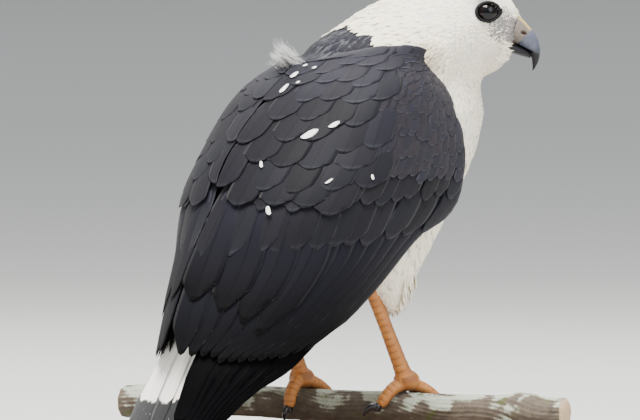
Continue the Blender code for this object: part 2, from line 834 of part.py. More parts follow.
def claw_mesh(side, heading, length, thickness, claw):
    """A claw curves on from the toe's end, clear of the bark."""
    steps = 5
    path = []
    radii = []
    root = thickness * 0.62
    start = length + thickness * 0.28
    for i in range(steps + 1):
        t = i / steps
        lift = 0.0030 * math.sin(math.pi * t) + 0.0060 * t * t
        path.append(wrap_spot(side, heading, start + claw * t, root + 0.0012 + lift))
        radii.append(root * (1 - t) ** 0.8 + 0.0005)
    return tube(path, radii, 6)


def make_leg(side, label):
    thigh = cut_clear(thigh_form(side), TORSO_MESH)
    shank = tube(shank_path(side), SHANK_RADII, 12)
    shank = cut_clear(shank, thigh, TORSO_MESH)
    foot = foot_place(side)
    pad = ball(spot(foot.x, foot.y, 0.72), (0.0078, 0.0078, 0.0066), columns=14, rows=8)
    toes = [toe_mesh(side, heading, length, thick) for _, heading, length, thick, _ in toes_of(side)]
    foot_mesh = boolean(pad.copy(), toes, "UNION")
    foot_mesh = cut_clear(foot_mesh, PERCH_MESH)
    shank = cut_clear(shank, pad)
    add_object(f"thigh_{label}", thigh, WHITE_FEATHER)
    add_object(f"shank_{label}", shank, LEG_SCALE)
    add_object(f"foot_{label}", foot_mesh, LEG_SCALE)
    for (toe, heading, length, thick, claw), bone in zip(toes_of(side), toes):
        horn = claw_mesh(side, heading, length, thick, claw)
        horn = cut_clear(horn, bone, PERCH_MESH)
        add_object(f"claw_{label}_{toe}", horn, CLAW_HORN)


# Stand
def make_base():
    """A flat board with round corners and an eased rim."""
    width, depth, height = BASE_SIZE
    form = bmesh.new()
    bmesh.ops.create_cube(form, size=1.0)
    for vertex in form.verts:
        vertex.co = Vector((vertex.co.x * width, vertex.co.y * depth, (vertex.co.z + 0.5) * height))
    upright = [e for e in form.edges if abs(e.verts[0].co.z - e.verts[1].co.z) > height / 2]
    bmesh.ops.bevel(
        form, geom=upright, offset=BASE_CORNER, segments=6, profile=0.5, affect="EDGES", material=-1
    )
    rim = [e for e in form.edges if min(v.co.z for v in e.verts) > height - 1e-5]
    rim = [e for e in rim if e.is_boundary or len(e.link_faces) == 2]
    bmesh.ops.bevel(
        form, geom=rim, offset=0.003, segments=2, profile=0.5, affect="EDGES", material=-1
    )
    bmesh.ops.triangulate(form, faces=form.faces)
    mesh = bpy.data.meshes.new("base")
    form.to_mesh(mesh)
    form.free()
    return mesh


def make_rod(along):
    place = perch_axis(along)
    low = Vector((place.x, place.y, BASE_SIZE[2] + GAP))
    high = Vector((place.x, place.y, place.z))
    across = Vector((ROD_RADIUS, 0, 0))
    rings = [oval(end, across, Vector((0, ROD_RADIUS, 0)), 14) for end in (low, high)]
    return cut_clear(loft(rings), PERCH_MESH)


PERCH_MESH = perch_form()

add_object("torso", make_torso(), WHITE_FEATHER)
add_object("neck", make_neck(), WHITE_FEATHER)
add_object("head", make_head(), WHITE_FEATHER)
for eye_side, eye_label in ((1, "right"), (-1, "left")):
    eye = ball(eye_spot(eye_side), [EYE_RADIUS] * 3, columns=14, rows=8)
    add_object(f"eye_{eye_label}", eye, EYE_GLOSS)
add_object("cere", make_cere(), CERE_SKIN)
add_object("bill_upper", make_upper_bill(), HORN)
add_object("bill_lower", make_lower_bill(), HORN)
for wing_side, wing_label in ((-1, "right"), (1, "left")):
    make_wing(wing_side, wing_label)
add_object("tail", make_tail(), WHITE_FEATHER)
for leg_side, leg_label in ((-1, "right"), (1, "left")):
    make_leg(leg_side, leg_label)
add_object("stand_perch", PERCH_MESH, BARK)
add_object("stand_base", make_base(), STAND_WOOD)
for rod_along, rod_label in ((-ROD_OUT, "right"), (ROD_OUT, "left")):
    add_object(f"stand_rod_{rod_label}", make_rod(rod_along), STAND_STEEL)
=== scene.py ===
# %% [markdown]
# A white-necked hawk, dressed over its solid model.
# The solid model gives every place and size. Here one smooth skin takes the place of the flesh,
# and thousands of thin feathers grow from that skin along the lie of the coat.

# %% Load the frame
import math

import bmesh
import bpy
import numpy as np
from mathutils import Matrix, Vector
from mathutils.bvhtree import BVHTree
from mathutils.kdtree import KDTree


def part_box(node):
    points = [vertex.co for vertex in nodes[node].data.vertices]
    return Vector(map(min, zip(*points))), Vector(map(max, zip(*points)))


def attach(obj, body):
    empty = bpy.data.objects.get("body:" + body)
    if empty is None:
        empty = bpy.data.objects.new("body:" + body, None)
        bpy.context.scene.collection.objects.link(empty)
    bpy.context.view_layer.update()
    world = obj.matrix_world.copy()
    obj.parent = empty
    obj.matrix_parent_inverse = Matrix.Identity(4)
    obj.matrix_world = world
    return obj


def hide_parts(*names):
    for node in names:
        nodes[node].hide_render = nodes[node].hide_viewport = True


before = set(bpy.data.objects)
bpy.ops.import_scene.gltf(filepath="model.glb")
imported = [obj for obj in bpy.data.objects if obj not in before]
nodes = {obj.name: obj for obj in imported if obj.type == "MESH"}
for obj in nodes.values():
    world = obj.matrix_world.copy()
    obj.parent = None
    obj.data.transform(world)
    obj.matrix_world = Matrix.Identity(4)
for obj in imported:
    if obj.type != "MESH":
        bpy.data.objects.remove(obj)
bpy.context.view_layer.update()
print("frame loaded with", len(nodes), "nodes")

# %% [markdown]
# Places on a bird are easiest to give in centimetres from the top of the perch between its feet.
# The head has a frame of its own, because it is turned to the bird's right and dips its bill.

# %% Places on the bird
CM = 0.01
MM = 0.001
perch_low, perch_high = (np.array(corner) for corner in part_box("stand_perch"))
PERCH_TOP = 0.056
FEET_BACK = -0.030
PERCH_TURN = math.radians(25)
HEAD_CENTRE = (-2.3, -6.2, 22.0)
HEAD_TURN = math.radians(40)
HEAD_DIP = math.radians(20)
SIDES = ((-1, "right"), (1, "left"))
HEAD_SIDES = ((1, "right"), (-1, "left"))


def spot(x, y, z):
    return np.array((x * CM, y * CM + FEET_BACK, z * CM + PERCH_TOP))


HEAD_AXES = np.array(
    Matrix.Rotation(-HEAD_TURN, 3, "Z") @ Matrix.Rotation(HEAD_DIP, 3, "X")
)


def head_spot(ahead, side, up):
    """A place on the head in centimetres; side is positive to the bird's right."""
    return spot(*HEAD_CENTRE) + HEAD_AXES @ (np.array((-side, -ahead, up)) * CM)


def head_direction(ahead, side, up):
    direction = HEAD_AXES @ np.array((-side, -ahead, up), dtype=float)
    return direction / np.linalg.norm(direction)


def from_head(points):
    """Places in the head's own centimetres: ahead, to its right and up."""
    local = (points - spot(*HEAD_CENTRE)) @ HEAD_AXES / CM
    return np.stack([-local[:, 1], -local[:, 0], local[:, 2]], axis=1)


BILL_BASE = head_spot(3.4, 0, 0.2)
print("perch is", round(perch_high[2] - perch_low[2], 4), "m thick")

# %% [markdown]
# The photograph was taken from behind the bird's right side with a long lens, about level with its back.
# Seventeen pixels cover a centimetre there, which sets how wide the frame is at the bird.

# %% Camera
PHOTO_SIZE = (640, 420)
PIXELS_PER_CM = 17.0
FEET_PIXEL = (354, 390)
CAMERA_AZIMUTH = math.radians(230)
CAMERA_RISE = math.radians(2)
CAMERA_DISTANCE = 6.0
SENSOR = 36.0


def add_object(name, data):
    """A new object in the scene, at the origin."""
    thing = bpy.data.objects.new(name, data)
    bpy.context.scene.collection.objects.link(thing)
    return thing


def add_camera():
    """A long lens that keeps the photograph's framing, with the crown and the tail's tip cut off."""
    look = Vector(
        (
            -math.sin(CAMERA_AZIMUTH) * math.cos(CAMERA_RISE),
            math.cos(CAMERA_AZIMUTH) * math.cos(CAMERA_RISE),
            -math.sin(CAMERA_RISE),
        )
    )
    right = Vector((math.cos(CAMERA_AZIMUTH), math.sin(CAMERA_AZIMUTH), 0))
    up = right.cross(look)
    across = (PHOTO_SIZE[0] / 2 - FEET_PIXEL[0]) / PIXELS_PER_CM * CM
    above = (FEET_PIXEL[1] - PHOTO_SIZE[1] / 2) / PIXELS_PER_CM * CM
    aim = Vector(spot(0, 0, 0)) + right * across + up * above
    camera = bpy.data.cameras.new("camera")
    camera.sensor_width = SENSOR
    frame_width = PHOTO_SIZE[0] / PIXELS_PER_CM * CM
    camera.lens = SENSOR * CAMERA_DISTANCE / frame_width
    camera.clip_start = 0.05
    thing = add_object("camera", camera)
    thing.location = aim - look * CAMERA_DISTANCE
    thing.rotation_euler = look.to_track_quat("-Z", "Y").to_euler()
    bpy.context.scene.camera = thing
    print("camera at", [round(c, 3) for c in thing.location], "lens", round(camera.lens))


add_camera()

# %% [markdown]
# White plumage only reads against something a little darker, so the studio is a soft light grey.
# One broad key light hangs high above, a little to the camera's left. A weak fill comes from the
# right, and a rim light stands behind the bird.

# %% Studio
FLOOR_RADII = (0.0, 2.0, 5.0, 10.0, 20.0)
WALL_BEND = 5.0
WALL_HEIGHT = 10.0
STUDIO_MIDDLE = (0.0, 0.0, 0.2)


def mesh_of(form, name):
    """The finished mesh of a form, shaded smooth."""
    mesh = bpy.data.meshes.new(name)
    form.to_mesh(mesh)
    form.free()
    mesh.shade_smooth()
    return mesh


def new_material(name, colour, roughness):
    """A plain material, with its node tree and its shader."""
    material = bpy.data.materials.new(name)
    material.use_nodes = True
    shader = material.node_tree.nodes["Principled BSDF"]
    shader.inputs["Base Color"].default_value = (*colour, 1)
    shader.inputs["Roughness"].default_value = roughness
    return material, material.node_tree, shader


def add_floor():
    """A floor that curves up into a wall all round, so that no horizon shows."""
    profile = [(radius, 0.0) for radius in FLOOR_RADII]
    for angle in np.linspace(0.1, math.pi / 2, 12):
        out = FLOOR_RADII[-1] + WALL_BEND * math.sin(angle)
        profile.append((out, WALL_BEND * (1 - math.cos(angle))))
    profile.append((FLOOR_RADII[-1] + WALL_BEND, WALL_HEIGHT))
    form = bmesh.new()
    line = [form.verts.new((radius, 0, height)) for radius, height in profile]
    edges = [form.edges.new(pair) for pair in zip(line, line[1:])]
    bmesh.ops.spin(
        form, geom=line + edges, cent=(0, 0, 0), axis=(0, 0, 1), angle=2 * math.pi, steps=64,
        use_merge=True,
    )
    bmesh.ops.remove_doubles(form, verts=form.verts, dist=1e-5)
    bmesh.ops.recalc_face_normals(form, faces=form.faces)
    bmesh.ops.reverse_faces(form, faces=form.faces)
    floor = add_object("floor", mesh_of(form, "floor"))
    floor.data.materials.append(new_material("floor_paper", (0.60, 0.60, 0.59), 0.9)[0])


def add_light(name, place, size, power, colour=(1, 1, 1)):
    """A square soft light, turned towards the bird."""
    light = bpy.data.lights.new(name, "AREA")
    light.size = size
    light.energy = power
    light.color = colour
    thing = add_object(name, light)
    thing.location = place
    thing.rotation_euler = (Vector(STUDIO_MIDDLE) - Vector(place)).to_track_quat("-Z", "Y").to_euler()


def add_world():
    world = bpy.data.worlds.new("studio")
    world.use_nodes = True
    background = world.node_tree.nodes["Background"]
    background.inputs["Color"].default_value = (0.62, 0.64, 0.66, 1)
    background.inputs["Strength"].default_value = 1.25
    bpy.context.scene.world = world


add_floor()
add_world()
add_light("key", (-0.6, 0.8, 2.7), size=1.4, power=270, colour=(1.0, 0.975, 0.92))
add_light("fill", (-1.8, -0.4, 1.2), size=1.4, power=22, colour=(0.95, 0.97, 1.0))
add_light("rim", (1.2, -0.9, 1.6), size=1.0, power=30)
print("studio lit")

# %% [markdown]
# A finish that several pieces share is a node group. This one draws a feather: the fine barbs that
# slant out from the shaft, the shaft itself and the worn, paler edge. It reads the feather's own map,
# where U runs across from edge to edge and V from root to tip.

# %% Feather group


def feed(tree, node, inputs):
    """Sets or links a node's inputs, each given by its name or its number."""
    for label, value in inputs.items():
        socket = node.inputs[label]
        if isinstance(value, bpy.types.NodeSocket):
            tree.links.new(value, socket)
        else:
            socket.default_value = (*value, 1.0) if socket.type == "RGBA" else value
    return node


def link_math(tree, operation, *values):
    node = tree.nodes.new("ShaderNodeMath")
    node.operation = operation
    return feed(tree, node, dict(enumerate(values))).outputs[0]


def mix_colour(tree, share, first, second):
    node = tree.nodes.new("ShaderNodeMix")
    node.data_type = "RGBA"
    return feed(tree, node, {0: share, 6: first, 7: second}).outputs[2]


def smooth_step(tree, value, low, high):
    """0 at low, 1 at high and a soft step between them."""
    node = tree.nodes.new("ShaderNodeMapRange")
    node.interpolation_type = "SMOOTHSTEP"
    return feed(tree, node, {"Value": value, "From Min": low, "From Max": high}).outputs["Result"]


def read_mark(tree, label):
    """A value that the mesh holds for every point."""
    node = tree.nodes.new("ShaderNodeAttribute")
    node.attribute_name = label
    return node.outputs["Fac"]


def build_vane_group():
    """Outputs: Barbs, a fine height; Edge and Shaft, masks; Tone, each feather's own shade; Along."""
    group = bpy.data.node_groups.new("vane_detail", "ShaderNodeTree")
    group.interface.new_socket("Barb Count", in_out="INPUT", socket_type="NodeSocketFloat")
    for label in ("Barbs", "Edge", "Shaft", "Tone", "Along"):
        group.interface.new_socket(label, in_out="OUTPUT", socket_type="NodeSocketFloat")
    inside = group.nodes.new("NodeGroupInput")
    outside = group.nodes.new("NodeGroupOutput")
    map_node = group.nodes.new("ShaderNodeUVMap")
    map_node.uv_map = "vane"
    split = feed(group, group.nodes.new("ShaderNodeSeparateXYZ"), {0: map_node.outputs[0]})
    across, along = split.outputs[0], split.outputs[1]
    tone = read_mark(group, "tone")
    away = link_math(group, "ABSOLUTE", link_math(group, "SUBTRACT", across, 0.5))
    slant = link_math(group, "MULTIPLY_ADD", away, -0.5, along)
    shifted = link_math(group, "ADD", slant, tone)
    phase = link_math(group, "MULTIPLY", shifted, inside.outputs["Barb Count"])
    noise = group.nodes.new("ShaderNodeTexNoise")
    feed(group, noise, {"Scale": 9.0, "Detail": 2.0, "Vector": map_node.outputs[0]})
    wave = link_math(group, "SINE", link_math(group, "MULTIPLY_ADD", noise.outputs[0], 7.0, phase))
    side_edge = smooth_step(group, away, 0.39, 0.5)
    tip_edge = smooth_step(group, along, 0.90, 1.0)
    feed(
        group, outside,
        {
            "Barbs": link_math(group, "MULTIPLY_ADD", wave, 0.5, 0.5),
            "Edge": link_math(group, "MAXIMUM", side_edge, tip_edge),
            "Shaft": smooth_step(group, away, 0.035, 0.012),
            "Tone": tone,
            "Along": along,
        },
    )
    return group


VANE_GROUP = build_vane_group()
print("feather group ready")

# %% [markdown]
# Each kind of feather is one material: a dark centre, a paler edge and its own roughness.
# The colour of a whole feather also varies a little, as worn and fresh feathers do. Some rows get a darker
# tone, and each feather can darken towards its tip, as painted shade.

# %% Feather materials


def add_bump(tree, shader, height, strength, distance):
    bump = tree.nodes.new("ShaderNodeBump")
    feed(tree, bump, {"Strength": strength, "Distance": distance, "Height": height})
    tree.links.new(bump.outputs[0], shader.inputs["Normal"])


def feather_material(name, base, edge, shaft, wear_and_shade, barbs, edge_share, streak, bump, gloss=0.3, tip_shade=0.0):
    """A feather of one colour with paler edges. The pattern attribute brings in a second colour, for wear
    and buff, and on the white throat for painted shade; a painted shade also darkens it towards its tip."""
    material, tree, shader = new_material(name, base, 0.62)
    detail = tree.nodes.new("ShaderNodeGroup")
    detail.node_tree = VANE_GROUP
    detail.inputs["Barb Count"].default_value = barbs
    out = detail.outputs
    shade = mix_colour(tree, read_mark(tree, "pattern"), base, wear_and_shade)
    shade = mix_colour(tree, link_math(tree, "MULTIPLY", out["Edge"], edge_share), shade, edge)
    line = link_math(tree, "MULTIPLY", out["Barbs"], streak)
    shade = mix_colour(tree, line, shade, tuple(c * 0.6 for c in base))
    shade = mix_colour(tree, link_math(tree, "MULTIPLY", out["Shaft"], 0.7), shade, shaft)
    value = link_math(tree, "MULTIPLY_ADD", out["Tone"], 0.6, 0.7)
    # Painted shade: each feather darkens towards its tip, most on the flight feathers low on the wing.
    shadow = link_math(tree, "MULTIPLY_ADD", out["Along"], -tip_shade, 1.0)
    bright = tree.nodes.new("ShaderNodeHueSaturation")
    feed(tree, bright, {"Color": shade, "Value": link_math(tree, "MULTIPLY", value, shadow)})
    feed(
        tree, shader,
        {"Base Color": bright.outputs[0], "Sheen Weight": gloss * 0.3, "Specular IOR Level": gloss},
    )
    add_bump(tree, shader, out["Barbs"], bump, 0.0004)
    return material


SLATE = feather_material(
    "slate_feather", base=(0.0145, 0.0150, 0.0245), edge=(0.068, 0.070, 0.094),
    shaft=(0.008, 0.008, 0.012), wear_and_shade=(0.026, 0.019, 0.022),
    barbs=160, edge_share=0.6, streak=0.2, bump=0.2, gloss=0.14, tip_shade=0.1,
)
FLIGHT = feather_material(
    "flight_feather", base=(0.0120, 0.0125, 0.0215), edge=(0.055, 0.056, 0.078),
    shaft=(0.005, 0.005, 0.008), wear_and_shade=(0.020, 0.015, 0.018),
    barbs=420, edge_share=0.7, streak=0.2, bump=0.2, gloss=0.08, tip_shade=0.97,
)
HAND = feather_material(
    "hand_feather", base=(0.001, 0.001, 0.0015), edge=(0.003, 0.003, 0.004),
    shaft=(0.001, 0.001, 0.001), wear_and_shade=(0.001, 0.001, 0.001),
    barbs=420, edge_share=0.5, streak=0.2, bump=0.2, gloss=0.03,
)
# The white's second colour is a buff wash, and on the throat it also serves as painted shade.
WHITE = feather_material(
    "white_feather", base=(0.95, 0.875, 0.715), edge=(0.96, 0.90, 0.78),
    shaft=(0.88, 0.80, 0.66), wear_and_shade=(0.56, 0.45, 0.30),
    barbs=60, edge_share=0.3, streak=0.08, bump=0.12,
)
LORE = feather_material(
    "lore_feather", base=(0.27, 0.25, 0.24), edge=(0.46, 0.44, 0.42),
    shaft=(0.09, 0.08, 0.075), wear_and_shade=(0.09, 0.08, 0.08),
    barbs=60, edge_share=0.35, streak=0.3, bump=0.12,
)
DOWN = feather_material(
    "down_feather", base=(0.92, 0.915, 0.91), edge=(0.95, 0.95, 0.95),
    shaft=(0.85, 0.85, 0.84), wear_and_shade=(0.92, 0.915, 0.91),
    barbs=60, edge_share=0.3, streak=0.05, bump=0.1,
)
print("feather materials ready")

# %% [markdown]
# One smooth skin replaces the separate solids of torso, neck, head and thighs, so no seam shows.
# Copies of those nodes are joined, remeshed as one shell, and drawn in by the depth of the coat.

# %% Skin
SKIN_NODES = ("torso", "neck", "head", "thigh_right", "thigh_left")
SKIN_VOXEL = 0.0022
COAT_DEPTH = 0.0022
EYE_BED = 0.0095
LID_OPENING = 0.0068
THROAT = (2.95, 0.0, -1.75)
THROAT_REACH = 1.2
THROAT_SWELL = 0.0036


def eye_centre(side):
    return head_spot(1.35, side * 1.72, 0.72)


def lid_outward(side):
    """The way that the opening of the lids faces."""
    return head_direction(0.12, side, 0.03)


def sink_under_eyes(form):
    """Presses the skin behind each eyeball, within the opening of the lids."""
    for side in (-1, 1):
        centre = Vector(eye_centre(side))
        outward = Vector(lid_outward(side))
        for vertex in form.verts:
            offset = vertex.co - centre
            across = (offset - outward * offset.dot(outward)).length
            if offset.dot(outward) > 0 and across < LID_OPENING and offset.length > LID_OPENING:
                vertex.co = centre + offset * (LID_OPENING / offset.length)


def throat_swell(place):
    """How far the loose feathers under the chin fill the throat out."""
    ahead, across, up = from_head(np.array(place)[None])[0]
    apart = math.dist((ahead, across * 0.7, up), THROAT)
    return THROAT_SWELL * math.exp(-((apart / THROAT_REACH) ** 2))


def remeshed(mesh, voxel, rounds):
    """One closed shell round all the parts of a mesh, smoothed a number of rounds."""
    thing = add_object("form", mesh)
    remesh = thing.modifiers.new("remesh", "REMESH")
    remesh.mode = "VOXEL"
    remesh.voxel_size = voxel
    smooth = thing.modifiers.new("smooth", "SMOOTH")
    smooth.iterations = rounds
    graph = bpy.context.evaluated_depsgraph_get()
    finished = bpy.data.meshes.new_from_object(thing.evaluated_get(graph))
    bpy.data.objects.remove(thing)
    return finished


def build_skin():
    form = bmesh.new()
    for name in SKIN_NODES:
        form.from_mesh(nodes[name].data)
    bmesh.ops.remove_doubles(form, verts=form.verts, dist=1e-6)
    for side in (-1, 1):
        place = Matrix.Translation(Vector(eye_centre(side)))
        bmesh.ops.create_uvsphere(form, u_segments=24, v_segments=16, radius=EYE_BED, matrix=place)
    shell = remeshed(mesh_of(form, "flesh"), SKIN_VOXEL, 8)
    form = bmesh.new()
    form.from_mesh(shell)
    form.normal_update()
    for vertex in form.verts:
        vertex.co -= vertex.normal * (COAT_DEPTH - throat_swell(vertex.co))
    sink_under_eyes(form)
    return add_object("skin", mesh_of(form, "skin"))


skin = build_skin()
print("skin has", len(skin.data.polygons), "faces")

# %% [markdown]
# The lie of the coat runs away from the bill over the head and down the neck, then down and back
# along the body. The line between white neck and slate mantle is worked out from the place too.

# %% Lie of the coat


def unit(vectors):
    return vectors / np.maximum(np.linalg.norm(vectors, axis=-1, keepdims=True), 1e-12)


def in_centimetres(points):
    return (points - spot(0, 0, 0)) / CM


EYE_MIDDLE = (1.48, 1.9, 0.81)
EYE_HALVES = (0.80, 0.62)
EYE_TILT = math.radians(22)


def round_eye(points, side):
    """How far places are from an eye, 1 on the lids' outer edge, and the way that leads away."""
    place = from_head(points) - np.array((EYE_MIDDLE[0], side * EYE_MIDDLE[1], EYE_MIDDLE[2]))
    turn = np.array(((math.cos(EYE_TILT), math.sin(EYE_TILT)), (-math.sin(EYE_TILT), math.cos(EYE_TILT))))
    flat = place[:, (0, 2)] @ turn.T / EYE_HALVES
    far = np.sqrt(np.sum(flat**2, axis=1) + (place[:, 1] / 2.0) ** 2)
    way = (flat / EYE_HALVES) @ turn
    away = way[:, :1] * head_direction(1, 0, 0) + way[:, 1:] * head_direction(0, 0, 1)
    return far, unit(away)


def part_round_eyes(points, lie):
    """Turns the lie aside where feathers would run over an eye."""
    for side in (-1, 1):
        far, away = round_eye(points, side)
        towards = np.maximum(-np.sum(lie * away, axis=1), 0) * np.clip((2.3 - far) / 0.9, 0, 1.1)
        lie = lie + away * towards[:, None]
    return lie


def lie_of_coat(points, normals):
    place = in_centimetres(points)
    from_bill = unit(points - BILL_BASE)
    height = place[:, 2:3]
    head_share = np.clip((height - 17.5) / 4.5, 0, 1)
    body = np.array((0.0, 0.42, -0.91)) + np.zeros_like(points)
    body[:, 1] += np.clip(place[:, 1] * 0.06, -0.25, 0.25)
    lie = from_bill * head_share + body * (1 - head_share * 0.75)
    lie = part_round_eyes(points, unit(lie))
    lie -= normals * np.sum(lie * normals, axis=1, keepdims=True)
    return unit(lie)


BORDER_ACROSS = (-6.0, -5.0, -4.5, -3.5, -2.2, -1.0, 0.0, 1.0, 2.2, 3.5, 4.5, 5.0, 6.0)
BORDER_HEIGHT = (14.1, 18.3, 19.3, 20.1, 20.8, 21.2, 21.5, 21.3, 21.0, 20.4, 19.6, 18.6, 14.1)


def above_border(points):
    """How far a place is above the line where the white neck ends over the mantle, in centimetres."""
    place = in_centimetres(points)
    return place[:, 2] - np.interp(place[:, 0], BORDER_ACROSS, BORDER_HEIGHT)


def low_back(points, start=12.6):
    """1 on the slate lower back, which shows only in the gap between the folded wings."""
    place = in_centimetres(points)
    inside = (place[:, 1] + 0.57 * place[:, 2] > start) & (place[:, 2] < 19) & (place[:, 2] > 3.5)
    return inside.astype(float)


def mantle_share(points, margin=0.0):
    """1 on the slate mantle, 0 on the white neck and underparts."""
    place = in_centimetres(points)
    inside = (above_border(points) < margin) & (place[:, 1] > -1.6) & (place[:, 2] > 15.5)
    return inside.astype(float)


print("the white of the nape ends", max(BORDER_HEIGHT), "cm above the perch")

# %% [markdown]
# A feather is a thin closed vane: two sides that meet along its edges. Every feather of one kind
# has the same net of points and faces, so the net is worked out once and only its places change.
# An operator would have to be run for each of thousands of feathers, which is too slow.

# %% Feather nets
rng = np.random.default_rng(7)


def net_faces(ids):
    """The four-sided faces of a net of numbered points."""
    corners = (ids[:-1, :-1], ids[:-1, 1:], ids[1:, 1:], ids[1:, :-1])
    return np.stack([corner.ravel() for corner in corners], axis=1)


def closed_net(along, across):
    """A thin closed vane: places along and across it, upper side first, and both sides' faces."""
    t, s = (grid.ravel() for grid in np.meshgrid(along, across, indexing="ij"))
    ids = np.arange(len(t)).reshape(len(along), len(across))
    inner = ids[1:-1, 1:-1].ravel()
    under = ids.copy()
    under[1:-1, 1:-1] = (len(t) + np.arange(len(inner))).reshape(under[1:-1, 1:-1].shape)
    return {
        "t": np.concatenate([t, t[inner]]),
        "s": np.concatenate([s, s[inner]]),
        "top": np.concatenate([np.ones(len(t)), np.zeros(len(inner))]),
        "faces": np.concatenate([net_faces(ids), net_faces(under)[:, ::-1]]),
    }


def feather_template(steps):
    """The net of a small feather, with the share of its width at every place."""
    net = closed_net(np.linspace(0, 1, steps), np.linspace(-1, 1, 3))
    net["w"] = net["s"] * np.interp(net["t"], (0, 0.25, 0.6, 0.85, 1.0), (0.35, 0.8, 1.0, 0.8, 0.12))
    return net


print("a small feather has", len(feather_template(5)["faces"]), "faces")

# %% [markdown]
# All the feathers of one part are written into a single mesh from arrays, because so many separate
# objects would load very slowly. The mesh also carries what the materials read: the vane's own map,
# and each feather's shade and markings as values at its points.

# %% Meshes from arrays


def vectors_of(items, label):
    """One vector of every item, as the rows of an array."""
    values = np.empty(len(items) * 3)
    items.foreach_get(label, values)
    return values.reshape(-1, 3)


def set_mark(mesh, label, values):
    """Gives every point of a mesh a value that its material can read."""
    attribute = mesh.attributes.new(label, "FLOAT", "POINT")
    attribute.data.foreach_set("value", np.asarray(values, dtype=np.float32))


def take_place(thing, replaced):
    """Fixes a piece to the body in the place of the solids it replaces."""
    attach(thing, "root")
    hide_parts(*replaced)


def mesh_from_arrays(name, vertices, quads, vane_map, tone, pattern, bake_map, material):
    """One joined mesh with the feathers' maps and shades."""
    mesh = bpy.data.meshes.new(name)
    mesh.vertices.add(len(vertices))
    mesh.vertices.foreach_set("co", vertices.astype(np.float32).ravel())
    mesh.loops.add(quads.size)
    mesh.loops.foreach_set("vertex_index", quads.astype(np.int32).ravel())
    mesh.polygons.add(len(quads))
    mesh.polygons.foreach_set("loop_start", np.arange(0, quads.size, 4, dtype=np.int32))
    mesh.update(calc_edges=True)
    for label, values in (("OFBake", bake_map), ("vane", vane_map)):
        layer = mesh.uv_layers.new(name=label)
        layer.data.foreach_set("uv", values[quads.ravel()].astype(np.float32).ravel())
    set_mark(mesh, "tone", tone)
    set_mark(mesh, "pattern", pattern)
    mesh.shade_smooth()
    mesh.materials.append(material)
    return add_object(name, mesh)


print("mesh builder ready")

# %% [markdown]
# A feather lies along the body, which curves away under it. So each one is walked over the skin in
# a few steps, and every step looks up the nearest place on the skin in a search tree.

# %% Following the skin
BAKE_PATCH = 0.003


def bake_place(points):
    """The root's place on an unwrap of the body: round it in U, up it in V."""
    place = in_centimetres(points)
    centre_back = np.interp(place[:, 2], (5, 12, 20, 25), (6, 2, -2.5, -5.5))
    u = np.arctan2(place[:, 0], -(place[:, 1] - centre_back)) / (2 * math.pi) + 0.5
    v = np.clip((place[:, 2] + 4) / 30, 0.01, 0.99)
    return np.stack([u * 0.98 + 0.01, v], axis=1)


def skin_tracker(thing):
    """Finds the nearest place on the skin and its smooth normal for many points."""
    mesh = thing.data
    tree = BVHTree.FromPolygons([v.co for v in mesh.vertices], [p.vertices for p in mesh.polygons])
    vertex_normals = vectors_of(mesh.vertices, "normal")
    face_normals = np.array([vertex_normals[list(p.vertices)].mean(axis=0) for p in mesh.polygons])

    def track(points):
        """The nearest place on the skin to each point, and its normal."""
        found = [tree.find_nearest(point) for point in points.tolist()]
        places = np.array([hit[0] for hit in found])
        return places, unit(face_normals[[hit[2] for hit in found]])

    def drop(point, way):
        """Where a line from outside first meets the skin."""
        return np.array(tree.ray_cast(point.tolist(), way.tolist())[0])

    return track, drop


track_skin, drop_on_skin = skin_tracker(skin)


def walk_over_skin(roots, normals, lies, lengths, steps):
    """Stations along each feather that keep to the skin, so none dives under it."""
    places = [roots]
    outs = [normals]
    here, heading = roots, lies
    for _ in range(steps - 1):
        here, out = track_skin(here + heading * (lengths / (steps - 1))[:, None])
        heading = unit(heading - out * np.sum(heading * out, axis=1, keepdims=True))
        places.append(here)
        outs.append(out)
    return np.stack(places, axis=1), np.stack(outs, axis=1)


print("skin can be followed")

# %% [markdown]
# The small feathers grow here. The root is sunk, the vane is arched from edge to edge and the tip is
# lifted a little. The shading is turned towards the skin's, so that thousands of slivers read as
# soft plumage and not as a heap of scales.

# %% Growing feathers
SOFT_SHADING = 0.7
CAMBER = 0.2
THICKNESS = 0.06
ROOT_SUNK = 0.1


def shade_like_skin(mesh, skin_normals, quads):
    """Turns each upper face's shading towards the skin's, and each under face's away from it."""
    own = vectors_of(mesh.corner_normals, "vector")
    way = np.ones(quads.shape[:2])
    way[:, quads.shape[1] // 2 :] = -1
    way = np.repeat(way.ravel(), 4)[:, None]
    bent = unit(skin_normals)[quads.ravel()] * way * SOFT_SHADING + own * (1 - SOFT_SHADING)
    mesh.normals_split_custom_set(unit(bent).tolist())


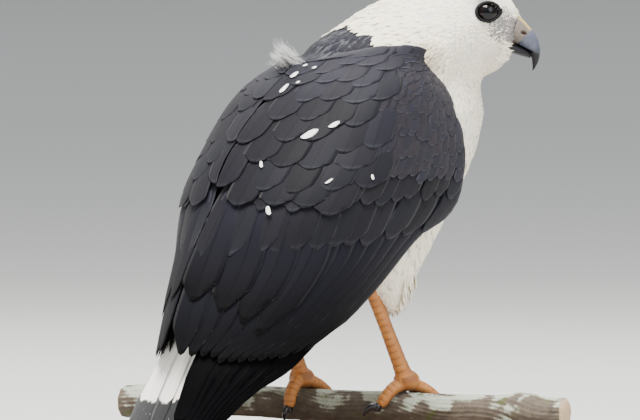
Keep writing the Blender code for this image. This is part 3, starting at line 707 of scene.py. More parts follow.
def grow(name, roots, normals, lies, lengths, widths, material, steps=5, lift=0.06, pattern=None,
         spread=0.12, free=False):
    """Grows one feather at each root; the lift is how far its tip stands out, as a share of its
    length, spread is how much the feathers differ in shade, and a free one leaves the skin."""
    shape = feather_template(steps)
    count = len(roots)
    if free:
        reach = lengths[:, None, None] * np.linspace(0, 1, steps)[None, :, None]
        places = roots[:, None] + lies[:, None] * reach
        outs = np.repeat(normals[:, None], steps, axis=1)
    else:
        places, outs = walk_over_skin(roots, normals, lies, lengths, steps)
    station = np.rint(shape["t"] * (steps - 1)).astype(int)
    out = unit(outs[:, station])
    run = unit(np.gradient(places, axis=1))[:, station]
    sides = unit(np.cross(run, out))
    t, w, s, top = (shape[label][None, :, None] for label in ("t", "w", "s", "top"))
    length = lengths[:, None, None]
    width = widths[:, None, None]
    rise = (lift * np.ones(count))[:, None, None]
    height = length * (rise * t - ROOT_SUNK * (1 - t) ** 3)
    height = height - CAMBER * width * (s**2) * np.minimum(t * 2, 1)
    height = height - (1 - top) * width * THICKNESS
    points = places[:, station] + sides * width * w + out * height
    size = len(shape["t"])
    quads = shape["faces"][None, :, :] + (np.arange(count) * size)[:, None, None]
    vane = np.stack([shape["s"] * 0.5 + 0.5, shape["t"]], axis=1)
    tone = np.repeat(np.clip(rng.normal(0.5, spread, count), 0.1, 0.9), size)
    marks = np.zeros(count) if pattern is None else pattern
    bake = bake_place(roots)[:, None, :] + (vane[None] - 0.5) * BAKE_PATCH
    thing = mesh_from_arrays(
        name, points.reshape(-1, 3), quads.reshape(-1, 4), np.tile(vane, (count, 1)), tone,
        np.repeat(marks, size), bake.reshape(-1, 2), material,
    )
    shade_like_skin(thing.data, (out + sides * w * 0.2).reshape(-1, 3), quads)
    return thing


print("small feathers can be grown")

# %% [markdown]
# Roots are scattered over the skin so that no two are closer than the coat's spacing there. Rows
# would show as stripes, and plain random places would leave bald patches. A search tree of the
# places makes the test quick.

# %% Scatter


def scatter(mesh, spacing_of, keep, tries):
    """Points and normals on a mesh, thinned so that none is nearer another than its spacing."""
    mesh.calc_loop_triangles()
    corners = vectors_of(mesh.vertices, "co")
    vertex_normals = vectors_of(mesh.vertices, "normal")
    triangles = np.empty(len(mesh.loop_triangles) * 3, dtype=np.int32)
    mesh.loop_triangles.foreach_get("vertices", triangles)
    triangles = triangles.reshape(-1, 3)
    a, b, c = (corners[triangles[:, i]] for i in range(3))
    areas = np.linalg.norm(np.cross(b - a, c - a), axis=1) * keep((a + b + c) / 3)
    pick = rng.choice(len(areas), tries, p=areas / areas.sum())
    first = np.sqrt(rng.random(tries))[:, None]
    second = rng.random(tries)[:, None]
    weights = (1 - first, first * (1 - second), first * second)
    points = sum(w * p[pick] for w, p in zip(weights, (a, b, c)))
    normals = unit(sum(w * vertex_normals[triangles[pick, i]] for i, w in enumerate(weights)))
    spacing = spacing_of(points)
    tree = KDTree(tries)
    for index, point in enumerate(points.tolist()):
        tree.insert(point, index)
    tree.balance()
    free = np.ones(tries, dtype=bool)
    kept = []
    for index in range(tries):
        if not free[index]:
            continue
        kept.append(index)
        for _, other, _ in tree.find_range(points[index].tolist(), float(spacing[index])):
            free[other] = False
    return points[kept], normals[kept]


print("scatter ready")

# %% [markdown]
# The head's feathers are only a few millimetres long, and down the neck they lengthen into the soft
# ones of the breast. None grows over an eye. Rules for places say how long a feather is, where white
# meets slate, where the white is washed with buff and where painted shade darkens the throat.

# %% Where each feather grows


def clear_of_eyes(points):
    return (round_eye(points, 1)[0] > 1) & (round_eye(points, -1)[0] > 1)


def feather_size(points):
    """Length of a body feather in metres by its place."""
    place = in_centimetres(points)
    from_bill = np.linalg.norm(points - BILL_BASE, axis=1) / CM
    size = np.interp(from_bill, (0.3, 1.5, 3.5, 6.0, 9.0, 13.0), (2.6, 3.8, 6.0, 10.0, 14.0, 19.0)) * MM
    near_eye = np.minimum(round_eye(points, 1)[0], round_eye(points, -1)[0])
    return size * np.where(place[:, 2] < 12, 1.1, 1.0) * np.interp(near_eye, (0.9, 2.0), (0.5, 1.0))


def coat_spacing(points):
    return feather_size(points) * 0.185


def white_region(points):
    free = (mantle_share(points, 0.5) < 0.5) * clear_of_eyes(points) * (low_back(points, 12.0) < 0.5)
    return free * (1 - lore_share(points))


LORE_MIDDLE = (2.72, 0.45)
LORE_HALVES = (0.58, 0.66)


def lore_share(points):
    """The bare-looking grey patch between the eye and the bill."""
    place = from_head(points)
    flat = np.linalg.norm((place[:, (0, 2)] - LORE_MIDDLE) / LORE_HALVES, axis=1)
    return np.clip(1.5 - flat, 0, 0.95) * (np.abs(place[:, 1]) > 0.9)


def lore_region(points):
    return lore_share(points) * clear_of_eyes(points)


def mantle_region(points):
    return mantle_share(points, 0.6)


def buff_and_throat_shade(points):
    """Where the white plumage is washed with buff, stronger on the side of the neck, with painted shade
    darkening the throat under the bill.
    """
    place = in_centimetres(points)
    wave = np.sin(place[:, 0] * 2.3 + 1.0) * np.sin(place[:, 1] * 1.9) * np.sin(place[:, 2] * 2.1 + 0.6)
    marks = np.clip(wave - 0.25, 0, 1) * 0.5
    smudge = np.linalg.norm(place - np.array((-4.3, -2.6, 20.0)), axis=1)
    marks = marks + np.clip(1.2 - smudge, 0, 0.8)
    # Painted shade: the throat under the bill is darkened towards the buff colour.
    throat_shade = np.linalg.norm((place - np.array((-4.6, -7.8, 19.6))) / (1.6, 1.6, 1.2), axis=1)
    return np.clip(marks + np.clip(1.2 - throat_shade, 0, 0.45), 0, 1)


print("feathers measure", feather_size(np.array([BILL_BASE, spot(0, 0, 5)])).round(4), "m")

# %% [markdown]
# Now the coat grows, in three kinds: the white one, the grey patch before each eye and the slate
# mantle. A kind with many feathers is split into pieces, each small enough to bake.

# %% Coat
FEATHERS_IN_PIECE = 6000
coat_count = 0


def grow_coat(name, region, material, tries, lift, widen, spread):
    """Scatters and grows one kind of coat, in pieces small enough to bake; widen is a feather's
    width as a share of its length."""
    global coat_count
    roots, normals = scatter(skin.data, coat_spacing, region, tries)
    order = np.argsort(-roots[:, 2])
    roots, normals = roots[order], normals[order]
    lies = lie_of_coat(roots, normals)
    turn = rng.normal(0, 0.1, len(roots))[:, None]
    lies = unit(lies + np.cross(normals, lies) * turn)
    lengths = feather_size(roots) * rng.uniform(0.85, 1.15, len(roots))
    lifts = lift + rng.normal(0, 0.012, len(roots))
    if material is WHITE:
        near_border = np.clip(1.6 - np.abs(above_border(roots) - 0.8), 0, 1) * (roots[:, 1] > -0.066)
        lifts = lifts + near_border * 0.05
    marks = buff_and_throat_shade(roots) if material is WHITE else rng.random(len(roots)) * 0.3
    pieces = math.ceil(len(roots) / FEATHERS_IN_PIECE)
    for number, part in enumerate(np.array_split(np.arange(len(roots)), pieces)):
        coat = grow(
            f"{name}_{number + 1}", roots[part], normals[part], lies[part], lengths[part],
            lengths[part] * widen / 2, material, lift=lifts[part], pattern=marks[part], spread=spread,
        )
        take_place(coat, SKIN_NODES)
        coat_count += len(coat.data.polygons) * 2
    print(name, "has", len(roots), "feathers in", pieces, "pieces")


grow_coat(
    "white_coat", white_region, WHITE, tries=120000, lift=0.05, widen=0.36, spread=0.06
)
grow_coat("lore_coat", lore_region, LORE, tries=5000, lift=0.05, widen=0.22, spread=0.16)
grow_coat(
    "mantle_coat", mantle_region, SLATE, tries=14000, lift=0.03, widen=0.8, spread=0.12
)
print("coat has", coat_count, "triangles")

# %% [markdown]
# Three kinds of feather leave the skin: bristles that point forward over the base of the bill, the
# loose ends of the thighs' feathers and a tuft of down between the shoulders. They are the same
# slivers as before, but each runs straight out from its root instead of over the skin.

# %% Loose feathers
BRISTLE_GAP = 0.0006
FRINGE_GAP = 0.0017


def even_spacing(gap):
    """A spacing that is the same all over the skin."""
    return lambda points: np.full(len(points), gap)


def face_region(points):
    """A band of skin round the base of the bill."""
    place = from_head(points)
    return (place[:, 0] > 2.85) & (place[:, 0] < 3.32) & (place[:, 2] > -1.7)


def grow_bristles():
    """Short bristly feathers that point forward over the base of the bill."""
    roots, normals = scatter(skin.data, even_spacing(BRISTLE_GAP), face_region, tries=6000)
    place = from_head(roots)
    forward = head_direction(1, 0, 0) + normals * 0.12 + rng.normal(0, 0.12, roots.shape)
    lies = unit(forward - normals * np.sum(forward * normals, axis=1, keepdims=True) * 0.8)
    under = np.clip((-0.45 - place[:, 2]) / 0.4, 0, 1)
    lengths = (0.0028 + 0.0012 * under) * rng.uniform(0.7, 1.2, len(roots))
    grey = (np.abs(place[:, 2] - 0.3) < 0.75) & (np.abs(place[:, 1]) > 0.6)
    for label, chosen, material in (("white", ~grey, WHITE), ("grey", grey, LORE)):
        bristles = grow(
            f"bristles_{label}", roots[chosen], normals[chosen], lies[chosen], lengths[chosen],
            lengths[chosen] * 0.13, material, steps=4, lift=0.04, free=True,
        )
        take_place(bristles, SKIN_NODES)


TUFT_FILAMENTS = 420
TUFT_PLACE = (0.6, 4.3, 19.2)
TUFT_SPREAD = (0.0036, 0.002, 0.0028)
TUFT_WAY = (0.30, 0.50, 0.80)
FILAMENT_LENGTHS = (0.006, 0.012)
FILAMENT_WIDTH = 0.00035


def grow_tuft():
    """A little white down that stands out between the shoulders."""
    roots = spot(*TUFT_PLACE) + rng.normal(0, 1, (TUFT_FILAMENTS, 3)) * TUFT_SPREAD
    lies = unit(np.array(TUFT_WAY) + rng.normal(0, 0.2, (TUFT_FILAMENTS, 3)))
    normals = unit(np.cross(lies, (0.6, -0.5, 0.1)))
    lengths = rng.uniform(*FILAMENT_LENGTHS, TUFT_FILAMENTS)
    tuft = grow(
        "down_tuft", roots, normals, lies, lengths, np.full(TUFT_FILAMENTS, FILAMENT_WIDTH), DOWN,
        steps=6, lift=0.15, free=True,
    )
    take_place(tuft, SKIN_NODES)


def fringe_region(points):
    """The lower end of each thigh, where loose feathers hang over the bare shank."""
    place = in_centimetres(points)
    rear = np.where(place[:, 0] > 0, 1.0, 0.0)
    return (place[:, 2] < 7.2) & (np.abs(place[:, 0]) > 1.9) & (place[:, 1] < rear)


def grow_fringe():
    """Long loose feathers that hang in points from the lower end of each thigh."""
    roots, normals = scatter(skin.data, even_spacing(FRINGE_GAP), fringe_region, tries=4000)
    down = np.array((0.0, 0.16, -1.0)) + rng.normal(0, 0.07, roots.shape)
    lies = unit(down + normals * 0.05)
    height = in_centimetres(roots)[:, 2]
    lengths = np.clip((height - 3.9) * 0.0052, 0.003, 0.011) * rng.uniform(0.75, 1.1, len(roots))
    fringe = grow(
        "thigh_fringe", roots, normals, lies, lengths, lengths * 0.11, WHITE, steps=6, lift=0.02,
        free=True, pattern=rng.random(len(roots)) * 0.12,
    )
    take_place(fringe, SKIN_NODES)


grow_bristles()
grow_fringe()
grow_tuft()
print("bristles, fringe and tuft grown")

# %% [markdown]
# Between the feathers a little of the skin shows. It carries the same markings as the coat, as one
# value at every point: white, slate on the mantle and lower back, and grey before the eyes.

# %% Dress the skin
SKIN_WHITE = (0.70, 0.69, 0.66)
SKIN_SLATE = (0.05, 0.053, 0.062)


def dress_skin():
    points = vectors_of(skin.data.vertices, "co")
    marks = np.maximum(mantle_share(points), lore_share(points) * 0.6)
    set_mark(skin.data, "pattern", np.maximum(marks, low_back(points)))
    material, tree, shader = new_material("skin", SKIN_WHITE, 0.8)
    shade = mix_colour(tree, read_mark(tree, "pattern"), SKIN_WHITE, SKIN_SLATE)
    feed(tree, shader, {"Base Color": shade})
    skin.data.materials.clear()
    skin.data.materials.append(material)
    take_place(skin, SKIN_NODES)


dress_skin()
print("skin dressed")

# %% [markdown]
# A folded wing is a sheet that wraps the body. Each rib gives its upper edge over the back, its
# fullest place and its lower edge, and a smooth curve runs through the ribs from shoulder to tip.
# The sheet is only worked out, and the feathers are laid on it.

# %% Wing sheet
WING_RIBS = np.array(
    (
        ((0.6, 4.2, 19.5), (3.9, 0.3, 20.55), (4.6, -2.2, 19.8)),
        ((0.6, 4.6, 19.3), (4.4, 1.4, 19.6), (4.5, -2.1, 19.2)),
        ((0.5, 7.0, 17.3), (6.2, 3.4, 17.5), (5.3, -3.1, 17.4)),
        ((0.4, 9.5, 14.3), (6.9, 5.2, 14.1), (6.0, -3.7, 14.1)),
        ((0.3, 11.1, 11.2), (6.9, 6.9, 11.0), (6.2, -2.7, 10.9)),
        ((0.3, 12.7, 7.9), (6.4, 7.8, 8.0), (6.2, 0.6, 8.4)),
        ((0.4, 13.8, 5.0), (5.4, 9.6, 5.1), (6.0, 4.1, 5.3)),
        ((0.7, 14.5, 2.1), (3.9, 12.0, 2.0), (5.3, 8.6, 1.9)),
        ((1.0, 15.2, -0.3), (3.0, 13.4, -0.2), (4.2, 11.3, 0.2)),
        ((1.3, 15.8, -2.0), (2.4, 14.6, -2.0), (3.3, 13.0, -1.5)),
        ((1.7, 16.2, -3.0), (1.9, 15.9, -3.0), (2.1, 15.6, -3.0)),
    )
)
WING_END = len(WING_RIBS) - 2
HALF_GAP = 0.03


def curve_through(places, at):
    """A smooth curve through an array of places; each whole number falls on one of them."""
    last = len(places) - 1
    k = np.clip(np.floor(at).astype(int), 0, last - 1)
    t = (at - k)[:, None, None]
    before, here, there, after = (places[np.clip(k + step, 0, last)] for step in (-1, 0, 1, 2))
    return (
        here * (2 * t**3 - 3 * t**2 + 1)
        + (there - before) / 2 * (t**3 - 2 * t**2 + t)
        + there * (3 * t**2 - 2 * t**3)
        + (after - here) / 2 * (t**3 - t**2)
    )


def ribs_at(along):
    """The rib's three places at every distance along. The rib before the first one counts as -1."""
    return curve_through(WING_RIBS, np.clip(along, -0.99, WING_END - 1e-6) + 1)


def sheet_places(along, across):
    upper, fullest, lower = np.moveaxis(ribs_at(along), 1, 0)
    bulge = 2 * fullest - (upper + lower) / 2
    c = across[:, None]
    return upper * (1 - c) ** 2 + 2 * bulge * c * (1 - c) + lower * c**2


def wing_spots(side, along, across, lift):
    """Places on a folded wing lifted by some millimetres, and one unit across there in metres."""
    step = 0.02
    here = sheet_places(along, across)
    run = sheet_places(along + step, across) - sheet_places(along - step, across)
    turn = sheet_places(along, across + step) - sheet_places(along, across - step)
    outward = unit(np.cross(turn, run))
    place = here + outward * (lift / 10)[:, None]
    place[:, 0] = side * np.maximum(place[:, 0], HALF_GAP)
    stretch = np.linalg.norm(turn, axis=1) / (2 * step) * CM
    return place * CM + spot(0, 0, 0), stretch


print("the wing's sheet reaches down to", WING_RIBS[-1, 0, 2], "cm from the perch's top")

# %% [markdown]
# A large feather is laid on such a sheet: a thin closed vane, widest past its middle, with a round
# tip, one edge lifted over its neighbour and the other tucked under the feather before.

# %% Large feathers


def vane_net(steps, columns, round_tip):
    """A large feather's net, finer towards its round tip."""
    along = np.concatenate([np.linspace(0, 0.7, steps - 5, endpoint=False), (0.7, 0.82, 0.9, 0.96, 1.0)])
    net = closed_net(along, np.linspace(-1, 1, columns))
    net["round"] = round_tip
    return net


def vane_width(t):
    """How wide a vane is along its length, as a share of its widest."""
    return np.interp(t, (0, 0.25, 0.55, 0.8, 0.92, 1.0), (0.5, 0.85, 1.0, 1.0, 0.93, 0.68))


def lay_feathers(name, place_of, rows, net, material, thick, ridge, columns=None, widest=0.4, arch=0.35):
    """Lays feathers on a sheet. Each row is near, far, root, tip, half width in metres, the lifts of
    root and tip, tilt, tone and pattern; lifts, tilts, thick, ridge and arch are in millimetres.
    Columns is how many feathers stand side by side on the bake map, or none for their own places."""
    near, far, root, tip, half, low, high, tilt, tone, marks = (
        column[:, None] for column in np.array(rows, dtype=float).T
    )
    count = len(rows)
    t, s, top = (net[label][None, :] for label in ("t", "s", "top"))
    ragged = rng.normal(0, 0.012, (count, len(net["t"]))) * (t > 0.5) * top
    reach = t - net["round"] * s**2 * t**6 + ragged * (np.abs(s) > 0.9)
    along = (near + (far - near) * reach).ravel()
    centre = (root + (tip - root) * t).ravel()
    lift = low + (high - low) * np.sin(t * math.pi / 2) ** 1.2
    lift = lift + tilt * s * np.minimum(t * 3, 1) - arch * s**2
    lift = (lift + top * thick + ridge * np.exp(-((s / 0.12) ** 2)) * top).ravel()
    _, stretch = place_of(along, centre, lift)
    offset = (s * half * vane_width(t)).ravel() / np.maximum(stretch, 0.012)
    points, _ = place_of(along, centre + np.clip(offset, -widest, widest), lift)
    size = len(net["t"])
    quads = net["faces"][None] + (np.arange(count) * size)[:, None, None]
    vane = np.stack([net["s"] * 0.5 + 0.5, net["t"]], axis=1)
    if columns is None:
        roots = np.stack([root.ravel() * 0.9 + 0.05, near.ravel() / 10 + 0.05], axis=1)
        bake = roots[:, None, :] + (vane[None] - 0.5) * BAKE_PATCH
    else:
        cells = np.stack([np.arange(count) % columns, np.arange(count) // columns], axis=1)
        lines = math.ceil(count / columns)
        bake = (cells[:, None, :] + 0.04 + vane[None] * 0.92) / (columns, lines)
    return mesh_from_arrays(
        name, points, quads.reshape(-1, 4), np.tile(vane, (count, 1)), np.repeat(tone.ravel(), size),
        np.repeat(marks.ravel(), size), bake.reshape(-1, 2), material,
    )


print("large feathers can be laid")

# %% [markdown]
# The wing's own rows come next. Small scale-like coverts crowd the shoulder, large round scapulars
# lie along the back, and the middle and greater coverts end in the line where the secondaries start.
# A row is a list of numbers for its feathers, each a little off the even spacing.

# %% Rows of coverts


def row_of(count, near, far, first, last, half, low, high, tilt, slope=0.0, jitter=0.05, brown=0.0,
           shade=0.5):
    """One row across the wing, from first to last; slope brings the lower feathers' tips forward, and shade
    sets the feathers' tone, which some rows lower as painted shade.
    """
    rows = []
    for i in range(count):
        share = i / max(count - 1, 1)
        across = first + (last - first) * share + rng.normal(0, 0.12) * (last - first) / count
        shift = rng.normal(0, jitter) + slope * share
        tone = shade + float(np.clip(rng.normal(0, 0.13), -0.4, 0.4))
        start = max(near + shift, -0.95)
        width = half * rng.uniform(0.92, 1.08)
        rise = high + rng.normal(0, 0.05)
        rows.append(
            (start, far + shift, across, across - 0.02, width, low, rise, tilt, tone, brown * rng.random())
        )
    return rows


def covert_rows():
    # Painted shade: both rows get a darker tone than the small scales, as the lower wing lies in shade.
    rows = row_of(12, 2.35, 3.9, 0.05, 0.97, 0.0098, -4.6, -2.5, 0.25, -0.28, 0.03, 0.2, -0.45)
    rows += row_of(14, 1.95, 3.05, 0.2, 0.98, 0.0076, -4.1, -2.1, 0.25, -0.22, 0.04, 0.5, -0.2)
    return rows


def scale_rows():
    rows = []
    for k in range(12):
        tip = 2.6 - 0.2 * k
        first = 0.40 + 0.012 * k
        half = 0.0050 + 0.0001 * k
        count = 15 - k // 4
        rows += row_of(count, tip - 0.5, tip, first, 0.985, half, -2.3, -1.75, 0.1, -0.12, 0.08, 0.6)
    for tip, count in ((0.35, 9), (0.08, 9), (-0.2, 8)):
        rows += row_of(count, tip - 0.7, tip, 0.42, 0.96, 0.0078, -2.4, -1.5, 0.1, -0.05, 0.05, 0.3)
    return rows


def scapular_rows():
    rows = []
    for k in range(9):
        tip = 3.05 - 0.40 * k
        last = (0.60 if k % 2 else 0.50) - 0.012 * k
        count = 5 if k % 2 else 4
        first = 0.03 if k % 2 else 0.1
        # Painted shade: the further down the wing a row's tips lie, the darker its tone.
        shade = float(np.interp(tip, (0.4, 1.4, 3.0), (0.45, -0.25, -0.4)))
        rows += row_of(
            count, tip - 0.95, tip, first, last, 0.0118, -2.3, -1.2, 0.2, 0.05, 0.08, 0.3, shade
        )
    return rows


WHITE_FLECKS = (
    (1.66, 0.25, 0.085, 0.0036, -0.014),
    (1.50, 0.335, 0.055, 0.0024, -0.010),
    (3.06, 0.22, 0.08, 0.0016, 0.008),
    (0.76, 0.03, 0.11, 0.0018, 0.0),
    (0.40, 0.02, 0.09, 0.0020, 0.0),
    (0.08, 0.03, 0.05, 0.0014, 0.0),
    (0.62, 0.07, 0.03, 0.0013, 0.0),
    (0.2, 0.09, 0.04, 0.0014, 0.0),
    (2.22, 0.12, 0.06, 0.0012, 0.006),
    (2.48, 0.41, 0.05, 0.0012, -0.008),
    (2.40, 0.58, 0.05, 0.0010, 0.006),
)


def fleck_rows():
    """White flecks where a white under-feather shows: along, across, reach, half width, skew."""
    return [
        (along - reach, along + reach, across - skew, across + skew, half, -0.75, -0.6, 0, 0.5, 0)
        for along, across, reach, half, skew in WHITE_FLECKS
    ]


print("rows of coverts planned, with", len(WHITE_FLECKS), "white flecks")

# %% [markdown]
# The rows are laid on the wing's sheet. The greater coverts lie lowest, the small scales over them
# and the scapulars on top. Only the right wing shows the white flecks.

# %% Coverts on the wings
COVERT_NET = vane_net(10, 9, 0.12)
SCALE_NET = vane_net(8, 5, 0.15)
WING_FRONT = {-1: -0.95, 1: -0.1}


def lay_wing_coverts(side, label):
    def place(along, across, lift):
        """The wing's sheet; the left one starts further back, as the mantle hides its front."""
        return wing_spots(side, np.maximum(along, WING_FRONT[side]), across, lift)

    pieces = (
        lay_feathers(f"coverts_{label}", place, covert_rows(), COVERT_NET, SLATE, 0.2, 0.1),
        lay_feathers(f"scales_{label}", place, scale_rows(), SCALE_NET, SLATE, 0.1, 0.0, arch=0.15),
        lay_feathers(f"scapulars_{label}", place, scapular_rows(), COVERT_NET, SLATE, 0.16, 0.1),
    )
    for piece in pieces:
        take_place(piece, (f"wing_{label}_coverts",))
    if side < 0:
        flecks = lay_feathers("white_flecks", place, fleck_rows(), SCALE_NET, DOWN, 0.2, 0.0, arch=0.1)
        take_place(flecks, (f"wing_{label}_coverts",))


for side, label in SIDES:
    lay_wing_coverts(side, label)
print("coverts laid")

# %% [markdown]
# Thirteen secondaries a side fan from under the greater coverts, with four broad tertials over them.
# The black primaries run on from beneath, past the secondaries' tips and down beside the tail.

# %% Wing quills
FLIGHT_NET = vane_net(18, 7, 0.16)
SECONDARIES = 13
TERTIALS = 4
PRIMARIES = 10


def secondary_rows():
    rows = []
    for i in range(SECONDARIES):
        share = i / (SECONDARIES - 1)
        across = 0.05 + 0.90 * share
        end = 5.66 + 0.3 * math.sin(math.pi * min(1.0, 0.1 + share * 0.8)) + rng.normal(0, 0.03)
        tone = float(np.clip(rng.normal(0.5, 0.1), 0.2, 0.8))
        rows.append(
            (2.75, end, across, across * 0.97, 0.0098, -4.6, -2.6 - 0.3 * share, 0.4, tone, 0.05)
        )
    for i in range(TERTIALS):
        across = 0.05 + 0.13 * i
        rows.append(
            (2.7, 4.75 + 0.22 * i, across, across, 0.0125, -3.9, -1.9, 0.3, 0.45 + 0.05 * i, 0.12)
        )
    return rows


def primary_rows():
    rows = []
    for i in range(PRIMARIES):
        share = i / (PRIMARIES - 1)
        across = 0.22 + 0.70 * share
        end = 7.0 + 1.9 * (0.3 + 0.7 * share) if share < 1 else 8.3
        rows.append((3.4, end, across, across, 0.0105, -11.5, -2.2, 0.6, rng.uniform(0.4, 0.6), 0.0))
    return rows


def lay_wing_quills(side, label):
    def place(along, across, lift):
        return wing_spots(side, along, across, lift)

    def deep_place(along, across, lift):
        """The primaries' sheet; the left one droops outside the tail's edge."""
        sunk = np.interp(along, (3.3, 3.75, 4.6, 5.7, 6.3, 9), (-3.0, -2.5, -1.5, -1.2, 1.6, 2.6))
        points, stretch = wing_spots(side, along, across, lift + sunk)
        share = np.clip((along - 4.6) / 2.6, 0, 1)
        if side > 0:
            drift = np.stack([0.016 * (1 - across), np.full(len(across), -0.023), across * 0], axis=1)
            points = points + drift * (share**2 * (3 - 2 * share))[:, None]
        return points, stretch

    flight = lay_feathers(
        f"secondaries_{label}", place, secondary_rows(), FLIGHT_NET, FLIGHT, 0.4, 0.2, 6, widest=0.14
    )
    hand = lay_feathers(
        f"primaries_{label}", deep_place, primary_rows(), FLIGHT_NET, HAND, 0.4, 0.2, 5, widest=0.09
    )
    take_place(flight, (f"wing_{label}_secondaries",))
    take_place(hand, (f"wing_{label}_primaries",))


for side, label in SIDES:
    lay_wing_quills(side, label)
print("quills laid")

# %% [markdown]
# Light must not pass between the feathers' roots. Under each wing lies one thin closed sheet for the
# dark down and flesh, made from the same ribs but sunk below the lowest feathers.

# %% Wing cores
CORE_REACH = {-1: (0.04, 5.3), 1: (0.7, 4.6)}
UNDER_FEATHERS = new_material("under_feathers", (0.012, 0.012, 0.015), 0.9)[0]


def lay_wing_core(side, label):
    steps = np.linspace(*CORE_REACH[side], 36)
    spans = np.linspace(0.02, 0.97, 24)
    a, c = (grid.ravel() for grid in np.meshgrid(steps, spans, indexing="ij"))
    low = np.interp(a, (0, 2.5, 3.5, 5.3), (-4.4, -5.8, -6.2, -5.6))
    c = c + (1 - c) * np.interp(a, (3.5, 5.3), (0.0, 0.16))
    upper, _ = wing_spots(side, a, c, low)
    under, _ = wing_spots(side, a, c, low - 1.5)
    count = len(a)
    ids = np.arange(count).reshape(len(steps), len(spans))
    top = net_faces(ids)
    rim = np.concatenate([ids[0, :-1], ids[:-1, -1], ids[-1, :0:-1], ids[:0:-1, 0]])
    after = np.roll(rim, -1)
    walls = np.stack([rim, rim + count, after + count, after], axis=1)
    quads = np.concatenate([top, top[:, ::-1] + count, walls])
    mesh = bpy.data.meshes.new(f"wing_core_{label}")
    mesh.from_pydata(np.concatenate([upper, under]).tolist(), [], quads.tolist())
    mesh.shade_smooth()
    mesh.materials.append(UNDER_FEATHERS)
    take_place(add_object(f"wing_core_{label}", mesh), (f"wing_{label}_coverts",))


for side, label in SIDES:
    lay_wing_core(side, label)
print("wing cores laid")

# %% [markdown]
# The tail's twelve feathers fan from the rump. They are laid on a sheet of their own, which widens
# to the tip and sinks a little at its edges.

# %% Tail sheet
TAIL_ROOT = np.array((0.0, 7.9, 11.7))
TAIL_TIP = np.array((0.5, 15.8, -3.5))


def tail_spots(along, across, lift):
    """Places on the tail's sheet, from root to tip and from -1 to 1 across."""
    run = unit(TAIL_TIP - TAIL_ROOT)
    outward = np.cross((1.0, 0.0, 0.0), run)
    half = 1.3 + (2.3 + 0.35 * np.sign(across)) * along
    sink = 0.7 * across**2 * (0.6 + 0.4 * along)
    shorter = 0.35 * across**2 * along
    place = TAIL_ROOT + (TAIL_TIP - TAIL_ROOT) * along[:, None] - run * shorter[:, None]
    place = place + outward * (lift / 10 - sink)[:, None]
    place[:, 0] += half * across
    return place * CM + spot(0, 0, 0), half * CM


print("tail is", round(float(np.linalg.norm(TAIL_TIP - TAIL_ROOT)), 1), "cm long")

# %% [markdown]
# A broad white band crosses the tail between the black base and the black band near the tip, so its
# material reads how far along each feather it is. The black base is on the upper side only, because
# white feathers hide it from below.

# %% Tail
TAIL_PAIRS = 6
BAND_BLACK = (0.016, 0.016, 0.018)


def object_place(tree):
    """A piece's own places, in metres."""
    return tree.nodes.new("ShaderNodeTexCoord").outputs["Object"]


def upward_facing(tree):
    """How far the surface faces up, from -1 to 1."""
    normal = tree.nodes.new("ShaderNodeNewGeometry").outputs["Normal"]
    return feed(tree, tree.nodes.new("ShaderNodeSeparateXYZ"), {0: normal}).outputs["Z"]


def tail_material():
    """The white feather's finish with the tail's bands over it."""
    material = feather_material(
        "tail_feather", base=(0.90, 0.88, 0.83), edge=(0.94, 0.92, 0.87), shaft=(0.76, 0.73, 0.68),
        wear_and_shade=(0.7, 0.66, 0.6), barbs=420, edge_share=0.3, streak=0.12, bump=0.2,
    )
    tree = material.node_tree
    shader = tree.nodes["Principled BSDF"]
    plain = shader.inputs["Base Color"].links[0].from_socket
    detail = next(node for node in tree.nodes if node.type == "GROUP")
    noise = tree.nodes.new("ShaderNodeTexNoise")
    feed(tree, noise, {"Scale": 160.0, "Vector": object_place(tree)})
    along = link_math(tree, "MULTIPLY_ADD", noise.outputs[0], 0.03, detail.outputs["Along"])
    upper_side = smooth_step(tree, upward_facing(tree), 0.0, 0.1)
    base_band = link_math(tree, "MULTIPLY", smooth_step(tree, along, 0.30, 0.27), upper_side)
    later = link_math(tree, "MULTIPLY_ADD", detail.outputs["Tone"], -0.12, along)
    tip_start = smooth_step(tree, later, 0.690, 0.705)
    tip_end = smooth_step(tree, along, 0.972, 0.958)
    tip_band = link_math(tree, "MULTIPLY", tip_start, tip_end)
    dark = link_math(tree, "MAXIMUM", base_band, tip_band)
    feed(tree, shader, {"Base Color": mix_colour(tree, dark, plain, BAND_BLACK)})
    return material


def lay_tail():
    rows = []
    for i in range(TAIL_PAIRS):
        for side in (-1, 1):
            across = side * (i + 0.5) / TAIL_PAIRS * 0.94
            tone = 0.5 + 0.4 * (i / (TAIL_PAIRS - 1) if side > 0 else 0)
            rows.append(
                (0.2, 0.995 - 0.012 * i, across * 0.9, across, 0.0098 + 0.0004 * i, -2.2 - 0.12 * i,
                 -1.6 - 0.1 * i, -0.6 * side, tone, 0.0)
            )
    tail = lay_feathers("tail_feathers", tail_spots, rows, FLIGHT_NET, tail_material(), 0.45, 0.3, 6)
    take_place(tail, ("tail",))


lay_tail()
print("tail laid")

# %% [markdown]
# Bill, toes and claws are all rings of points joined into a tube. A smooth curve through a few
# rings gives many, so each form stays smooth close up.

# %% Tubes


def ring_at(centre, width, height, sides, square=2.0):
    """Points of an oval round a centre; a square above 2 makes it fuller at its corners."""
    angles = np.linspace(0, 2 * math.pi, sides, endpoint=False)
    c, s = np.cos(angles), np.sin(angles)
    c = np.sign(c) * np.abs(c) ** (2 / square)
    s = np.sign(s) * np.abs(s) ** (2 / square)
    return centre + c[:, None] * width + s[:, None] * height


def smooth_rings(rings, count):
    """Many rings on a smooth curve through each point of a few."""
    return curve_through(np.array(rings), np.linspace(0, len(rings) - 1, count))


